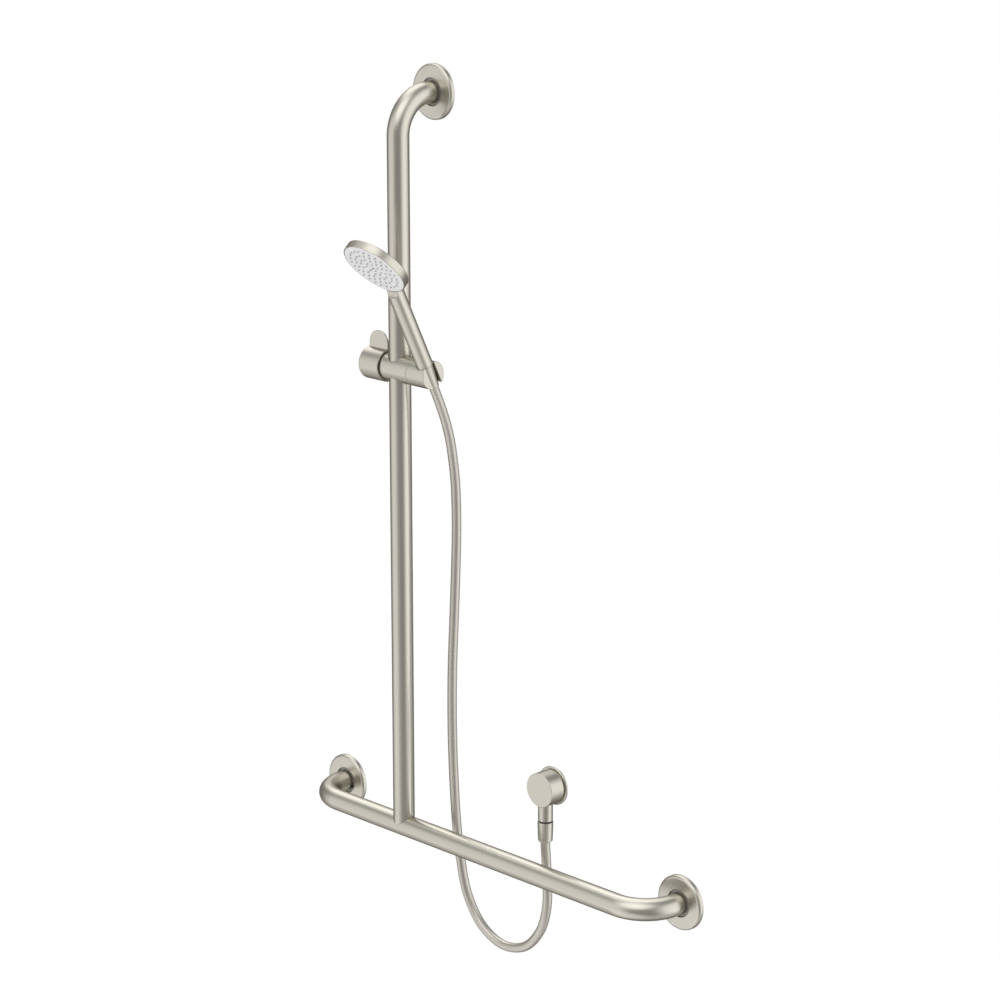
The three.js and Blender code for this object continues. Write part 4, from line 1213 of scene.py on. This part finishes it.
# Each soft box's azimuth from the front (-Y) towards the right (+X), its elevation, the half angle to
# which it is full, the half angle at which it has faded out, all in degrees, and its strength
SOFT_BOXES = [
    (-32, -3, 5, 49, 0.65),
    (116, 6, 12, 55, 0.95),
    (-120, 60, 8, 36, 1.28),
    (-122, 30, 5, 26, 0.75),
    (15, 52, 8, 43, 1.25),
    (2, -54, 8, 43, 0.62),
    (-60, 40, 5, 30, 0.10),
    (-60, -46, 8, 38, 0.36),
    (112, -46, 8, 40, 0.40),
]


def add_floor():
    floor = made("floor", prism([(-1, -1), (1, -1), (1, 1), (-1, 1)], -0.001, 0))
    floor.scale = (FLOOR_HALF / MM, FLOOR_HALF / MM, 1)
    floor.location = (0, 0, cad_box[0][2] - FLOOR_DROP)
    floor.visible_glossy = False
    paper = Nodes("floor_paper")
    paper.set(Roughness=0.9, Specular_IOR_Level=0.1)
    clouds = paper.noise(paper.room(), 3.0, 2.0)
    paper.link(paper.blend(clouds, (0.93, 0.93, 0.93), (0.95, 0.95, 0.95)), paper.shader.inputs["Base Color"])
    floor.data.materials.append(paper.material)


def bearing(azimuth, elevation):
    """The direction at an azimuth and elevation in degrees."""
    level = math.cos(math.radians(elevation))
    across = math.radians(azimuth)
    return level * math.sin(across), -level * math.cos(across), math.sin(math.radians(elevation))


def add_world():
    """Plain white for all but the gloss, which sees a dim room with soft boxes."""
    world = bpy.data.worlds.new("studio")
    world.use_nodes = True
    bpy.context.scene.world = world
    tree = world.node_tree
    tree.nodes.clear()
    output = tree.nodes.new("ShaderNodeOutputWorld")
    mix = tree.nodes.new("ShaderNodeMixShader")
    plain = tree.nodes.new("ShaderNodeBackground")
    plain.inputs["Color"].default_value = (1, 1, 1, 1)
    plain.inputs["Strength"].default_value = WHITE
    boxes = tree.nodes.new("ShaderNodeBackground")
    boxes.inputs["Color"].default_value = BOX_COLOUR
    path = tree.nodes.new("ShaderNodeLightPath")
    direction = tree.nodes.new("ShaderNodeTexCoord").outputs["Generated"]
    total = None
    for azimuth, elevation, full, faded, strength in SOFT_BOXES:
        facing = tree.nodes.new("ShaderNodeVectorMath")
        facing.operation = "DOT_PRODUCT"
        facing.inputs[1].default_value = bearing(azimuth, elevation)
        tree.links.new(direction, facing.inputs[0])
        fade = tree.nodes.new("ShaderNodeMapRange")
        fade.interpolation_type = "SMOOTHSTEP"
        fade.inputs["From Min"].default_value = math.cos(math.radians(faded))
        fade.inputs["From Max"].default_value = math.cos(math.radians(full))
        fade.inputs["To Max"].default_value = strength
        tree.links.new(facing.outputs["Value"], fade.inputs["Value"])
        adding = tree.nodes.new("ShaderNodeMath")
        adding.inputs[1].default_value = BASE_LIGHT
        if total:
            tree.links.new(total, adding.inputs[1])
        tree.links.new(fade.outputs["Result"], adding.inputs[0])
        total = adding.outputs[0]
    tree.links.new(total, boxes.inputs["Strength"])
    tree.links.new(path.outputs["Is Glossy Ray"], mix.inputs[0])
    tree.links.new(plain.outputs[0], mix.inputs[1])
    tree.links.new(boxes.outputs[0], mix.inputs[2])
    tree.links.new(mix.outputs[0], output.inputs["Surface"])


# ---------------------------------------------------------------- the set

def dress_cad_nodes():
    """Gives every CAD node that still shows its slot's material."""
    for part in frame["record"]["subparts"]:
        node = frame["nodes"][part["node"]]
        node.data.materials.clear()
        node.data.materials.append(MATERIALS[part["material_slot"]])


add_camera()
add_hose()
add_upright()
add_lower_rail()
add_wall_fixing("top", Matrix.Identity(4))
add_wall_fixing("left", moved(LEFT_X, 0, LOWER_Z))
add_wall_fixing("right", moved(RIGHT_X, 0, LOWER_Z))
add_slider_body()
add_lock_knob()
add_knob_ring()
add_holder()
add_cone_nut()
add_handle()
add_head()
add_nozzles()
add_elbow_disc()
add_elbow()
add_lower_nut()
dress_cad_nodes()
add_floor()
add_world()
bpy.context.scene.view_settings.view_transform = "Standard"
